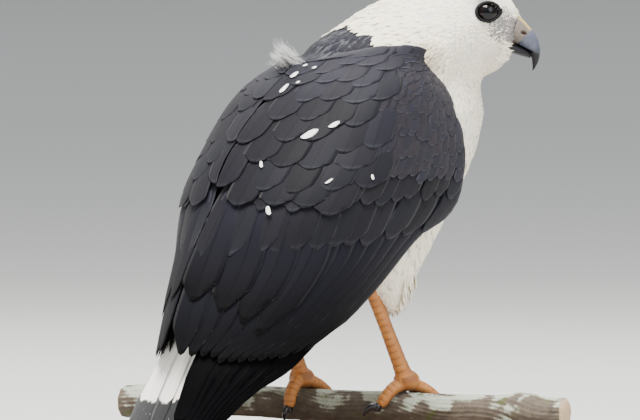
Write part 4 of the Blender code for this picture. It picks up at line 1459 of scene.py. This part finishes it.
def tube_mesh(name, rings):
    """A closed tube through the rings, with a fan of faces at each end."""
    count, sides = rings.shape[:2]
    ids = np.arange(count * sides).reshape(count, sides)
    turned = np.roll(ids, -1, axis=1)
    walls = (ids[:-1], turned[:-1], turned[1:], ids[1:])
    faces = np.stack([corner.ravel() for corner in walls], axis=1).tolist()
    points = rings.reshape(-1, 3).tolist()
    for end, order in ((0, -1), (count - 1, 1)):
        points.append(rings[end].mean(axis=0).tolist())
        hub = len(points) - 1
        for k in range(sides):
            pair = (int(ids[end, k]), int(turned[end, k]))
            faces.append((*pair[::order], hub))
    mesh = bpy.data.meshes.new(name)
    mesh.from_pydata(points, [], faces)
    form = bmesh.new()
    form.from_mesh(mesh)
    bmesh.ops.recalc_face_normals(form, faces=form.faces)
    form.to_mesh(mesh)
    form.free()
    mesh.shade_smooth()
    return mesh


def add_piece(name, mesh, material, replaced):
    """Puts a finished mesh in the scene in the place of the solids it replaces."""
    mesh.materials.clear()
    mesh.materials.append(material)
    take_place(add_object(name, mesh), replaced)


print("tubes ready")

# %% [markdown]
# The bill is one smooth form from the cere to the hook. A soft groove marks where the horn leaves
# the cere, and the nostril is a pit in the cere. The lower half closes under it with a dark gape line.

# %% Bill shape
BILL_SIDES = 64
UPPER_STEPS = (
    (3.30, 1.16, -0.45, 1.10),
    (3.48, 1.10, -0.46, 1.08),
    (3.80, 0.95, -0.47, 1.00),
    (4.09, 0.78, -0.51, 0.90),
    (4.45, 0.60, -0.58, 0.74),
    (4.78, 0.30, -0.66, 0.56),
)
HOOK_STEPS = (
    (4.90, -0.465, 32, 0.373, 0.44),
    (5.05, -0.75, 50, 0.262, 0.30),
    (5.14, -1.075, 65, 0.177, 0.20),
    (5.17, -1.39, 82, 0.08, 0.09),
    (5.165, -1.58, 86, 0.02, 0.02),
)
LOWER_STEPS = (
    (3.20, -0.42, -1.06, 1.00),
    (3.48, -0.42, -1.06, 0.97),
    (4.0, -0.45, -1.05, 0.80),
    (4.5, -0.54, -1.0, 0.54),
    (4.76, -0.66, -0.97, 0.26),
)
NOSTRIL = (3.90, 0.96, 0.34)
NOSTRIL_HALVES = (0.21, 0.35, 0.11)
PIT_DEPTH = 0.0016
CERE_EDGE = 4.0
GROOVE_DEPTH = 0.00022


def bill_ring(ahead, top, under, half_width, square=2.25):
    centre = head_spot(ahead, 0, (top + under) / 2)
    width = head_spot(ahead, half_width, (top + under) / 2) - centre
    height = head_spot(ahead, 0, top) - centre
    return ring_at(centre, width, height, BILL_SIDES, square)


def hook_ring(ahead, up, lean, thick, half_width):
    centre = head_spot(ahead, 0, up)
    lean = math.radians(lean)
    height = head_spot(ahead + thick * math.sin(lean), 0, up + thick * math.cos(lean)) - centre
    width = head_spot(ahead, half_width, up) - centre
    return ring_at(centre, width, height, BILL_SIDES, 2.1)


def shape_upper_bill():
    rings = [bill_ring(*step) for step in UPPER_STEPS] + [hook_ring(*step) for step in HOOK_STEPS]
    mesh = tube_mesh("bill_upper", smooth_rings(rings, 110))
    points = vectors_of(mesh.vertices, "co")
    place = from_head(points)
    ahead, up = place[:, 0], place[:, 2]
    groove = np.exp(-(((ahead - CERE_EDGE - 0.5 * up) / 0.06) ** 2)) * GROOVE_DEPTH * (up > -0.5)
    pit = np.zeros(len(points))
    for side in (-1, 1):
        apart = place - np.array((NOSTRIL[0], side * NOSTRIL[1], NOSTRIL[2]))
        gap = np.sqrt(np.sum((apart / NOSTRIL_HALVES) ** 2, axis=1))
        pit = np.maximum(pit, np.clip(1.25 - gap, 0, 1))
    axis = head_direction(1, 0, 0)
    inward = head_spot(CERE_EDGE, 0, 0) - points
    inward -= np.outer(inward @ axis, axis)
    moved = points + unit(inward) * (groove + pit * PIT_DEPTH)[:, None]
    mesh.vertices.foreach_set("co", moved.astype(np.float32).ravel())
    mesh.update()
    cere = np.clip((CERE_EDGE + 0.5 * up - ahead) / 0.10, 0, 1)
    set_mark(mesh, "cere", cere * np.clip((up + 0.42) / 0.05, 0, 1))
    down = np.clip((-0.3 - up + 0.35 * (ahead - 4.6)) / 0.6, 0, 1)
    edge = np.clip((-0.38 - up - 0.10 * (ahead - 3.9)) / 0.07, 0, 1)
    set_mark(mesh, "tip", np.maximum(down, edge))
    set_mark(mesh, "pit", np.clip(pit * 2.2, 0, 1))
    under_ridge = np.interp(ahead, *np.array(UPPER_STEPS)[:4, :2].T) - up
    set_mark(mesh, "ridge", np.clip((0.20 - under_ridge) / 0.14, 0, 1))
    return mesh


def shape_lower_bill():
    """The lower half of the bill, black all over."""
    mesh = tube_mesh("bill_under", smooth_rings([bill_ring(*step) for step in LOWER_STEPS], 40))
    for label, value in (("cere", 0), ("tip", 1), ("pit", 0), ("ridge", 0)):
        set_mark(mesh, label, np.full(len(mesh.vertices), value))
    return mesh


print("bill is", round(HOOK_STEPS[-2][0] - UPPER_STEPS[0][0], 2), "cm from its base to the hook")

# %% [markdown]
# One material finishes both halves. It reads marks that were set with the shape: the cere, its
# yellow ridge, the nostrils' pits and the black tip. Noise clouds the horn a little.

# %% Bill finish


def noise_value(tree, scale, detail=3.0, stretch=(1, 1, 1)):
    """Noise over the piece's own places."""
    mapping = tree.nodes.new("ShaderNodeMapping")
    feed(tree, mapping, {"Scale": stretch, "Vector": object_place(tree)})
    noise = tree.nodes.new("ShaderNodeTexNoise")
    return feed(tree, noise, {"Scale": scale, "Detail": detail, "Vector": mapping.outputs[0]}).outputs[0]


def bill_material():
    """Blue-grey horn with a black tip, and the cere with its yellow ridge and nostrils painted dark as
    shade.
    """
    material, tree, shader = new_material("horn", (0.2, 0.21, 0.25), 0.32)
    cloud = noise_value(tree, 350, 4)
    horn = mix_colour(tree, cloud, (0.052, 0.060, 0.088), (0.14, 0.155, 0.20))
    tip = link_math(tree, "MULTIPLY", read_mark(tree, "tip"), 1.1)
    shade = mix_colour(tree, tip, horn, (0.006, 0.006, 0.008))
    cere = mix_colour(tree, cloud, (0.095, 0.080, 0.07), (0.23, 0.195, 0.165))
    cere = mix_colour(tree, read_mark(tree, "ridge"), cere, (0.50, 0.38, 0.13))
    shade = mix_colour(tree, read_mark(tree, "cere"), shade, cere)
    # The nostrils' pits are painted dark as the shade inside the openings.
    shade = mix_colour(tree, read_mark(tree, "pit"), shade, (0.035, 0.014, 0.008))
    rough = link_math(tree, "MULTIPLY_ADD", read_mark(tree, "cere"), 0.25, 0.27)
    rough = link_math(tree, "MULTIPLY_ADD", read_mark(tree, "tip"), 0.18, rough)
    feed(tree, shader, {"Base Color": shade, "Roughness": rough, "Specular IOR Level": 0.3})
    add_bump(tree, shader, noise_value(tree, 900, 3, (1, 1, 0.3)), 0.12, 0.0003)
    return material


BILL = bill_material()
add_piece("bill", shape_upper_bill(), BILL, ("bill_upper", "cere"))
add_piece("bill_under", shape_lower_bill(), BILL, ("bill_lower",))
print("bill shaped")

# %% [markdown]
# The eye is nearly black, with only a hint of brown in its iris. It is a ball of rings round the line
# that it looks along, so the pupil and the iris can be marked by how far each point turns from it.

# %% Eyes
EYE_RADIUS = 0.0077


def eye_material():
    material, tree, shader = new_material("eye_gloss", (0.01, 0.006, 0.005), 0.03)
    shade = mix_colour(tree, read_mark(tree, "iris"), (0.002, 0.002, 0.003), (0.006, 0.003, 0.0025))
    coat = {"Coat Weight": 0.15, "Coat Roughness": 0.02, "Specular IOR Level": 0.2}
    feed(tree, shader, {"Base Color": shade, **coat})
    return material


def shape_eye(side):
    """An eyeball with its pole at the pupil and the cornea standing a little out of it."""
    centre = eye_centre(side)
    outward = head_direction(0.25, side, 0.05)
    ahead = head_direction(1, 0, 0)
    ahead = unit(ahead - outward * (ahead @ outward))
    up = np.cross(outward, ahead)
    rings = []
    for angle in np.linspace(0.02, math.pi - 0.02, 40):
        bulge = 1.0 + 0.05 * max(0.0, math.cos(angle)) ** 8
        middle = centre + outward * math.cos(angle) * EYE_RADIUS * bulge
        radius = math.sin(angle) * EYE_RADIUS
        rings.append(ring_at(middle, ahead * radius, up * radius, 48))
    mesh = tube_mesh(f"eye_{side}", np.array(rings))
    apart = unit(vectors_of(mesh.vertices, "co") - centre) @ outward
    set_mark(mesh, "iris", np.clip((0.90 - apart) / 0.03, 0, 1) * np.clip((apart - 0.62) / 0.05, 0, 1))
    return mesh


EYE = eye_material()
for side, label in HEAD_SIDES:
    add_piece(f"eyeball_{label}", shape_eye(side), EYE, (f"eye_{label}",))
print("eyeballs set")

# %% [markdown]
# The lids are a thin dark band from the eyeball out to the face. Each of its places is found by
# looking at the head from outside, so that the band lies on the ball within and on the skin without.

# %% Lids
LID_PROUD = 0.0002
LID_STEP = 0.0001
LID_THICKNESS = 0.0010
LOOK_FROM = 0.02


def lid_material():
    material, tree, shader = new_material("lid_skin", (0.004, 0.004, 0.005), 0.6)
    feed(tree, shader, {"Specular IOR Level": 0.2})
    add_bump(tree, shader, noise_value(tree, 1500, 3), 0.3, 0.0002)
    return material


def inner_lid(middle, out, reach, centre, outward):
    """The place where a lid meets the eyeball, taken inward till the ball stands over the skin."""
    for step in range(12):
        inner = middle + out * (reach - LID_STEP * step)
        on_skin = drop_on_skin(inner + outward * LOOK_FROM, -outward)
        apart = np.linalg.norm(inner - centre)
        on_ball = inner + outward * math.sqrt(max(EYE_RADIUS**2 - apart**2, 1e-6))
        if (on_ball - on_skin) @ outward > 0:
            return on_ball + outward * LID_PROUD
    return on_skin + outward * LID_PROUD


def shape_lids(side):
    """The rim of the lids, drawn out to a corner in front."""
    centre = eye_centre(side)
    outward = lid_outward(side)
    ahead = head_direction(math.cos(EYE_TILT), 0, math.sin(EYE_TILT))
    ahead = unit(ahead - outward * (ahead @ outward))
    up = np.cross(outward, ahead) * side
    middle = centre + ahead * 0.0006 + up * 0.0003
    rings = []
    for angle in np.linspace(0, 2 * math.pi, 121):
        corner = max(0.0, math.cos(angle)) ** 9
        out = ahead * math.cos(angle) + up * math.sin(angle) * 0.80
        inner = inner_lid(middle, out, 0.0060 + 0.0006 * corner, centre, outward)
        outer = middle + out * (0.0080 + 0.0014 * corner)
        outer = drop_on_skin(outer + outward * LOOK_FROM, -outward) + outward * LID_PROUD
        rings.append(ring_at((inner + outer) / 2, (outer - inner) / 2, outward * LID_THICKNESS, 12))
    return tube_mesh(f"lids_{side}", np.array(rings))


LID = lid_material()
for side, label in HEAD_SIDES:
    add_piece(f"lids_{label}", shape_lids(side), LID, SKIN_NODES)
print("lids set")

# %% [markdown]
# Three toes point forward over the branch and one back under it. Each is a tube whose middle line
# wraps the bark, so that the foot really grips. Small steps in its rings are the plates on its top.

# %% Toes round the branch
PERCH_RADIUS = 0.0095
FOOT_OUT = 3.4
PERCH_RUN = np.array((math.cos(PERCH_TURN), math.sin(PERCH_TURN), 0.0))
PERCH_SIDE = np.array((-PERCH_RUN[1], PERCH_RUN[0], 0.0))
# Each toe's heading in degrees from straight ahead, its length, its thickness and its claw's length.
TOES = (
    ("outer", 42, 0.029, 0.0040, 0.013),
    ("middle", 4, 0.035, 0.0044, 0.015),
    ("inner", -38, 0.028, 0.0044, 0.017),
)
BACK_HEADING = {-1: 209, 1: 176}


def toes_of(side):
    """A foot's toes; the right foot's back toe grips further inward than the left one's."""
    return TOES + (("back", BACK_HEADING[side], 0.023, 0.0046, 0.017),)


def foot_place(side, up):
    """The middle of a foot on the branch, in the bird's centimetres."""
    return np.array((side * FOOT_OUT * math.cos(PERCH_TURN), side * FOOT_OUT * math.sin(PERCH_TURN), up))


def perch_axis(along):
    """The middle of the branch at a distance along it, with its slow bends."""
    near = min(1.0, (along / 0.06) ** 2)
    drop = 0.0016 * math.sin(along * 21 + 0.4) * near
    sway = 0.0022 * math.sin(along * 17) * near
    level = np.array((0, 0, drop - PERCH_RADIUS))
    return spot(0, 0, 0) + PERCH_RUN * along + PERCH_SIDE * sway + level


def wrap_spot(side, heading, reach, radius):
    """A place on the branch under a foot, going out along a heading over the bark."""
    angle = math.radians(heading)
    orbit = PERCH_RADIUS + radius
    swing = math.cos(angle) * reach / orbit
    centre = perch_axis(side * FOOT_OUT * CM) + PERCH_RUN * side * math.sin(angle) * reach
    return centre + np.array((0, 0, orbit * math.cos(swing))) - PERCH_SIDE * orbit * math.sin(swing)


def off_bark(side, place):
    """The way from the branch's middle under a foot to a place on it."""
    return unit(place - perch_axis(side * FOOT_OUT * CM))


def tube_along(rows, sides):
    """Rings square to a path; a row is a place, the way up, and the ring's half width and height."""
    path, up, wide, tall = (np.array(column) for column in zip(*rows))
    run = unit(np.gradient(path, axis=0))
    side_way = unit(np.cross(run, up))
    up_way = np.cross(side_way, run)
    rings = zip(path, side_way, up_way, wide, tall)
    return np.array([ring_at(centre, s * w, u * h, sides) for centre, s, u, w, h in rings])


def toe_rings(side, heading, length, thickness, count=70):
    """A toe that thins towards its end, with plates above, pads below and a round tip."""
    rows = []
    for t in np.linspace(-0.10, 1.0, count):
        radius = thickness * (1.0 - 0.28 * max(t, 0))
        plates = 0.06 * ((t * 9.0) % 1.0)
        pads = 0.07 * math.sin(max(t, 0) * math.pi * 3) ** 2
        end = math.sqrt(max(0.0, 1 - max(0.0, (t - 0.86) / 0.14) ** 2.4)) * 0.94 + 0.06
        place = wrap_spot(side, heading, length * t, radius + 0.0006)
        wide = radius * end * (0.96 + pads)
        tall = radius * end * (0.94 + plates)
        rows.append((place, off_bark(side, place), wide, tall))
    return tube_along(rows, 24)


print("each foot has", len(toes_of(1)), "toes")

# %% [markdown]
# Each leg is one skin from the heel to the ends of the toes: the shank's tube, the toes' tubes and a
# rounded sole are joined by a remesh. The seams between the broad plates are pressed in afterwards,
# and marked so that the finish can darken them.

# %% Leg shape
HEEL = {-1: (-3.5, 2.7, 8.3), 1: (3.5, 3.6, 8.3)}
SHANK_RADII = (0.0060, 0.0049, 0.0042, 0.0041, 0.0046, 0.0056)
SOLE_HALVES = (0.0078, 0.0078, 0.0062)
LEG_VOXEL = 0.0005
SHANK_PLATES = 20.0
PLATE_LENGTH = 0.0028
SEAM_DEPTH = 0.00028


def shank_rings(side, count=120):
    heel = np.array(HEEL[side])
    foot = foot_place(side, 0.55)
    front = unit(np.cross(unit(foot - heel), (-1.0, 0.0, 0.0)))
    rows = []
    for t in np.linspace(0, 1, count):
        radius = np.interp(t, (0, 0.12, 0.35, 0.6, 0.85, 1.0), SHANK_RADII)
        plates = 0.05 * ((t * 17.0) % 1.0)
        place = spot(*(heel + (foot - heel) * t))
        rows.append((place, front, radius * 0.93, radius * (0.98 + plates)))
    return tube_along(rows, 32)


def shape_leg(side):
    form = bmesh.new()
    tubes = [shank_rings(side)]
    tubes += [toe_rings(side, heading, length, thick) for _, heading, length, thick, _ in toes_of(side)]
    for rings in tubes:
        form.from_mesh(tube_mesh("limb", rings))
    place = Matrix.Translation(Vector(spot(*foot_place(side, 0.66)))) @ Matrix.Diagonal((*SOLE_HALVES, 1.0))
    bmesh.ops.create_uvsphere(form, u_segments=32, v_segments=20, radius=1.0, matrix=place)
    finished = remeshed(mesh_of(form, "leg"), LEG_VOXEL, 2)
    mark_plates(finished, side)
    finished.shade_smooth()
    return finished


def mark_plates(mesh, side):
    """Presses a groove between the broad plates on the shank's front and the tops of the toes, and marks
    the back and undersides for a painted shade.
    """
    samples = []
    limbs = [(shank_rings(side), SHANK_PLATES)]
    for _, heading, length, thick, _ in toes_of(side):
        limbs.append((toe_rings(side, heading, length, thick), length / PLATE_LENGTH))
    for rings, plates in limbs:
        centres = rings.mean(axis=1)
        fronts = unit(rings[:, rings.shape[1] // 4] - centres)
        radius = np.linalg.norm(rings[:, 0] - centres, axis=1)
        for k, t in enumerate(np.linspace(0, 1, len(rings))):
            samples.append((centres[k], fronts[k], radius[k], t * plates))
    tree = KDTree(len(samples))
    for k, sample in enumerate(samples):
        tree.insert(sample[0].tolist(), k)
    tree.balance()
    points = vectors_of(mesh.vertices, "co")
    normals = vectors_of(mesh.vertices, "normal")
    seams = np.zeros(len(points))
    rear = np.zeros(len(points))
    for k, point in enumerate(points):
        _, found, _ = tree.find(point.tolist())
        centre, front, radius, run = samples[found]
        facing = float(unit((point - centre)[None])[0] @ front)
        apart = abs((run + 0.5) % 1.0 - 0.5)
        seams[k] = math.exp(-((apart / 0.13) ** 2)) * min(max((facing + 0.1) / 0.5, 0), 1)
        # Painted shade: rear is 1 on the back of the shank and the undersides of the toes.
        rear[k] = min(max((0.25 - facing) / 1.1, 0), 1)
    mesh.vertices.foreach_set("co", (points - normals * seams[:, None] * SEAM_DEPTH).ravel())
    mesh.update()
    set_mark(mesh, "seam", seams)
    set_mark(mesh, "rear", rear)


print("shank is", round(float(HEEL[1][2]), 1), "cm high over the branch")

# %% [markdown]
# The skin of the legs is orange-yellow and scaled, with a painted shade that darkens and browns it behind
# the shank and under the toes. A cell pattern gives the fine scales between the broad plates.

# %% Legs


def leg_material():
    """Orange-yellow scaled skin, painted darker behind and under the toes as shade, with fine seams between
    the scales.
    """
    material, tree, shader = new_material("leg_scale", (0.7, 0.4, 0.16), 0.45)
    cloud = noise_value(tree, 160, 4)
    shade = mix_colour(tree, cloud, (0.40, 0.125, 0.018), (0.68, 0.29, 0.065))
    # Painted shade: the back of the shank and the undersides of the toes are mixed towards dark brown.
    rear = link_math(tree, "MULTIPLY", read_mark(tree, "rear"), 0.75)
    shade = mix_colour(tree, rear, shade, (0.17, 0.06, 0.02))
    scales = tree.nodes.new("ShaderNodeTexVoronoi")
    scales.feature = "DISTANCE_TO_EDGE"
    apart = feed(tree, scales, {"Scale": 750, "Vector": object_place(tree)}).outputs["Distance"]
    fine_seams = link_math(tree, "MULTIPLY", smooth_step(tree, apart, 0.12, 0.0), 0.3)
    seams = link_math(tree, "MAXIMUM", fine_seams, read_mark(tree, "seam"))
    shade = mix_colour(tree, link_math(tree, "MULTIPLY", seams, 0.6), shade, (0.14, 0.045, 0.015))
    feed(tree, shader, {"Base Color": shade, "Subsurface Weight": 0.08, "Subsurface Scale": 0.002})
    add_bump(tree, shader, smooth_step(tree, apart, 0.0, 0.25), 0.35, 0.0003)
    return material


LEG = leg_material()
for side, label in SIDES:
    add_piece(f"leg_{label}", shape_leg(side), LEG, (f"shank_{label}", f"foot_{label}"))
print("legs shaped")

# %% [markdown]
# Each claw is black horn that grips round the branch. Its middle line follows the toe's own way over
# the bark and rises off it in a hook, and its rings shrink to a sharp point.

# %% Claws


def claw_rings(side, heading, length, thickness, claw, count=36):
    rows = []
    root = thickness * 0.62
    start = length + thickness * 0.1
    for t in np.linspace(0, 1, count):
        lift = 0.0030 * math.sin(math.pi * t) + 0.0060 * t * t
        place = wrap_spot(side, heading, start + claw * t, root + 0.0012 + lift)
        radius = root * (1 - t) ** 0.55 + 0.00015
        rows.append((place, off_bark(side, place), radius * 0.82, radius))
    return tube_along(rows, 24)


def claw_material():
    material, tree, shader = new_material("claw_horn", (0.012, 0.012, 0.014), 0.22)
    add_bump(tree, shader, noise_value(tree, 700, 3), 0.08, 0.0003)
    return material


CLAW = claw_material()
for side, label in SIDES:
    for toe, heading, length, thick, claw in toes_of(side):
        name = f"claw_{label}_{toe}"
        mesh = tube_mesh(name, claw_rings(side, heading, length, thick, claw))
        add_piece(f"horn_{label}_{toe}", mesh, CLAW, (name,))
print("claws shaped")

# %% [markdown]
# The perch is a short cut length of a mossy branch, with both ends sawn flat. It is one tube along
# the branch's bent middle line, and its bark is worked into the rings with a few waves and ridges.

# %% Perch shape
PERCH_REACH = (-0.135, 0.150)


def perch_radius(along):
    knot = 0.0028 * math.exp(-(((along + 0.108) / 0.012) ** 2))
    near = min(1.0, (along / 0.06) ** 2)
    return PERCH_RADIUS * (1 + 0.05 * math.sin(along * 60) * near) + knot


def shape_perch(sides=160, count=420):
    angles = np.linspace(0, 2 * math.pi, sides, endpoint=False)
    waves = rng.uniform(0, 2 * math.pi, 8)
    rings = []
    for along in np.linspace(*PERCH_REACH, count):
        ridges = np.sin(angles * 9 + 3 * math.sin(along * 55 + waves[0]) + waves[1])
        ridges = ridges + 0.6 * np.sin(angles * 23 + 5 * math.sin(along * 90 + waves[2]) + along * 300)
        cracks = np.sin(along * 700 + 4 * np.sin(angles * 3 + waves[3])) * 0.5
        warts = np.sin(along * 160 + waves[4]) * np.sin(angles * 5 + waves[5] + along * 70)
        relief = 0.00016 * ridges + 0.0001 * cracks + 0.0003 * np.clip(warts, 0, 1) - 0.00035
        near_end = min(along - PERCH_REACH[0], PERCH_REACH[1] - along)
        radius = perch_radius(along) + relief - 0.0006 * math.exp(-near_end / 0.0006)
        out = np.cos(angles)[:, None] * np.array((0, 0, 1.0)) + np.sin(angles)[:, None] * PERCH_SIDE
        rings.append(perch_axis(along) + out * radius[:, None])
    mesh = tube_mesh("perch", np.array(rings))
    points = vectors_of(mesh.vertices, "co")
    along = (points - spot(0, 0, 0)) @ PERCH_RUN
    ends = np.minimum(along - PERCH_REACH[0], PERCH_REACH[1] - along)
    set_mark(mesh, "sawn", (ends < 0.00002).astype(float))
    return mesh


print("perch is", round(PERCH_REACH[1] - PERCH_REACH[0], 3), "m long")

# %% [markdown]
# Pale lichen lies in patches where the bark faces up, with a little moss. The sawn ends show growth
# rings round the branch's middle line.

# %% Perch
WOOD_CENTRE = (0, 0.0127, -0.0465)


def perch_material():
    """Grey-brown bark with lichen where it faces up and some moss, and growth rings on sawn wood."""
    material, tree, shader = new_material("bark", (0.12, 0.1, 0.08), 0.9)
    bark = mix_colour(tree, noise_value(tree, 220, 6), (0.035, 0.028, 0.022), (0.17, 0.135, 0.10))
    upward = link_math(tree, "MULTIPLY_ADD", upward_facing(tree), 0.16, noise_value(tree, 70, 5))
    lichen = smooth_step(tree, upward, 0.56, 0.66)
    fine = noise_value(tree, 900, 4)
    crust = mix_colour(tree, fine, (0.20, 0.23, 0.17), (0.50, 0.53, 0.44))
    shade = mix_colour(tree, lichen, bark, crust)
    moss = smooth_step(tree, noise_value(tree, 95, 4), 0.60, 0.72)
    shade = mix_colour(tree, moss, shade, (0.085, 0.10, 0.03))
    turned = tree.nodes.new("ShaderNodeMapping")
    turn = {"Rotation": (0, 0, -PERCH_TURN), "Location": WOOD_CENTRE, "Scale": (0.02, 1, 1)}
    feed(tree, turned, {"Vector": object_place(tree), **turn})
    rings = tree.nodes.new("ShaderNodeTexWave")
    rings.wave_type = "RINGS"
    rings.rings_direction = "SPHERICAL"
    feed(tree, rings, {"Scale": 300, "Distortion": 1.5, "Vector": turned.outputs[0]})
    wood = mix_colour(tree, rings.outputs["Fac"], (0.42, 0.29, 0.17), (0.55, 0.41, 0.26))
    shade = mix_colour(tree, read_mark(tree, "sawn"), shade, wood)
    feed(tree, shader, {"Base Color": shade})
    add_bump(tree, shader, link_math(tree, "MULTIPLY_ADD", lichen, 0.5, fine), 0.6, 0.0006)
    return material


add_piece("perch", shape_perch(), perch_material(), ("stand_perch",))
print("perch cut")

# %% [markdown]
# The stand is plain: a waxed wooden base with round corners and two steel rods up to the perch.

# %% Stand
BASE_SIZE = (0.25, 0.20, 0.014)
BASE_CORNER = 0.03
BASE_RIM = 0.003
ROD_RADIUS = 0.0045
ROD_PLACES = ((-0.088, "right"), (0.088, "left"))


def wood_material():
    material, tree, shader = new_material("stand_wood", (0.2, 0.11, 0.06), 0.4)
    grain = noise_value(tree, 26, 6, (0.35, 5, 5))
    fine = noise_value(tree, 260, 3, (0.1, 3, 3))
    shade = mix_colour(tree, grain, (0.10, 0.05, 0.026), (0.27, 0.15, 0.08))
    shade = mix_colour(tree, link_math(tree, "MULTIPLY", fine, 0.35), shade, (0.05, 0.026, 0.014))
    feed(tree, shader, {"Base Color": shade, "Coat Weight": 0.25, "Coat Roughness": 0.2})
    add_bump(tree, shader, fine, 0.12, 0.0003)
    return material


def steel_material():
    material, tree, shader = new_material("stand_steel", (0.56, 0.56, 0.57), 0.28)
    wear = noise_value(tree, 120, 4, (1, 1, 12))
    feed(tree, shader, {"Metallic": 1.0, "Roughness": link_math(tree, "MULTIPLY_ADD", wear, 0.2, 0.2)})
    return material


def shape_base():
    """The base's board with its corners rounded and its rim eased."""
    form = bmesh.new()
    place = Matrix.Translation((0, 0, BASE_SIZE[2] / 2)) @ Matrix.Diagonal((*BASE_SIZE, 1.0))
    bmesh.ops.create_cube(form, size=1.0, matrix=place)
    upright = [e for e in form.edges if abs(e.verts[0].co.z - e.verts[1].co.z) > 0.001]
    bmesh.ops.bevel(
        form, geom=upright, offset=BASE_CORNER, segments=24, profile=0.5, affect="EDGES", material=-1
    )
    rim = [e for e in form.edges if min(v.co.z for v in e.verts) > BASE_SIZE[2] - 1e-5]
    bmesh.ops.bevel(
        form, geom=rim, offset=BASE_RIM, segments=6, profile=0.5, affect="EDGES", material=-1
    )
    mesh = mesh_of(form, "base")
    mesh.set_sharp_from_angle(angle=math.radians(40))
    return mesh


def shape_rod(along):
    """An upright rod from the base to the middle of the branch above it."""
    x, y, top = perch_axis(along)
    width = np.array((ROD_RADIUS, 0, 0))
    depth = np.array((0, ROD_RADIUS, 0))
    ends = (BASE_SIZE[2] + 0.0003, top)
    return tube_mesh("rod", np.array([ring_at(np.array((x, y, z)), width, depth, 48) for z in ends]))


add_piece("base", shape_base(), wood_material(), ("stand_base",))
STEEL = steel_material()
for along, label in ROD_PLACES:
    add_piece(f"rod_{label}", shape_rod(along), STEEL, (f"stand_rod_{label}",))
print("stand made")

# %% [markdown]

# %% End of the scene
print("scene built")
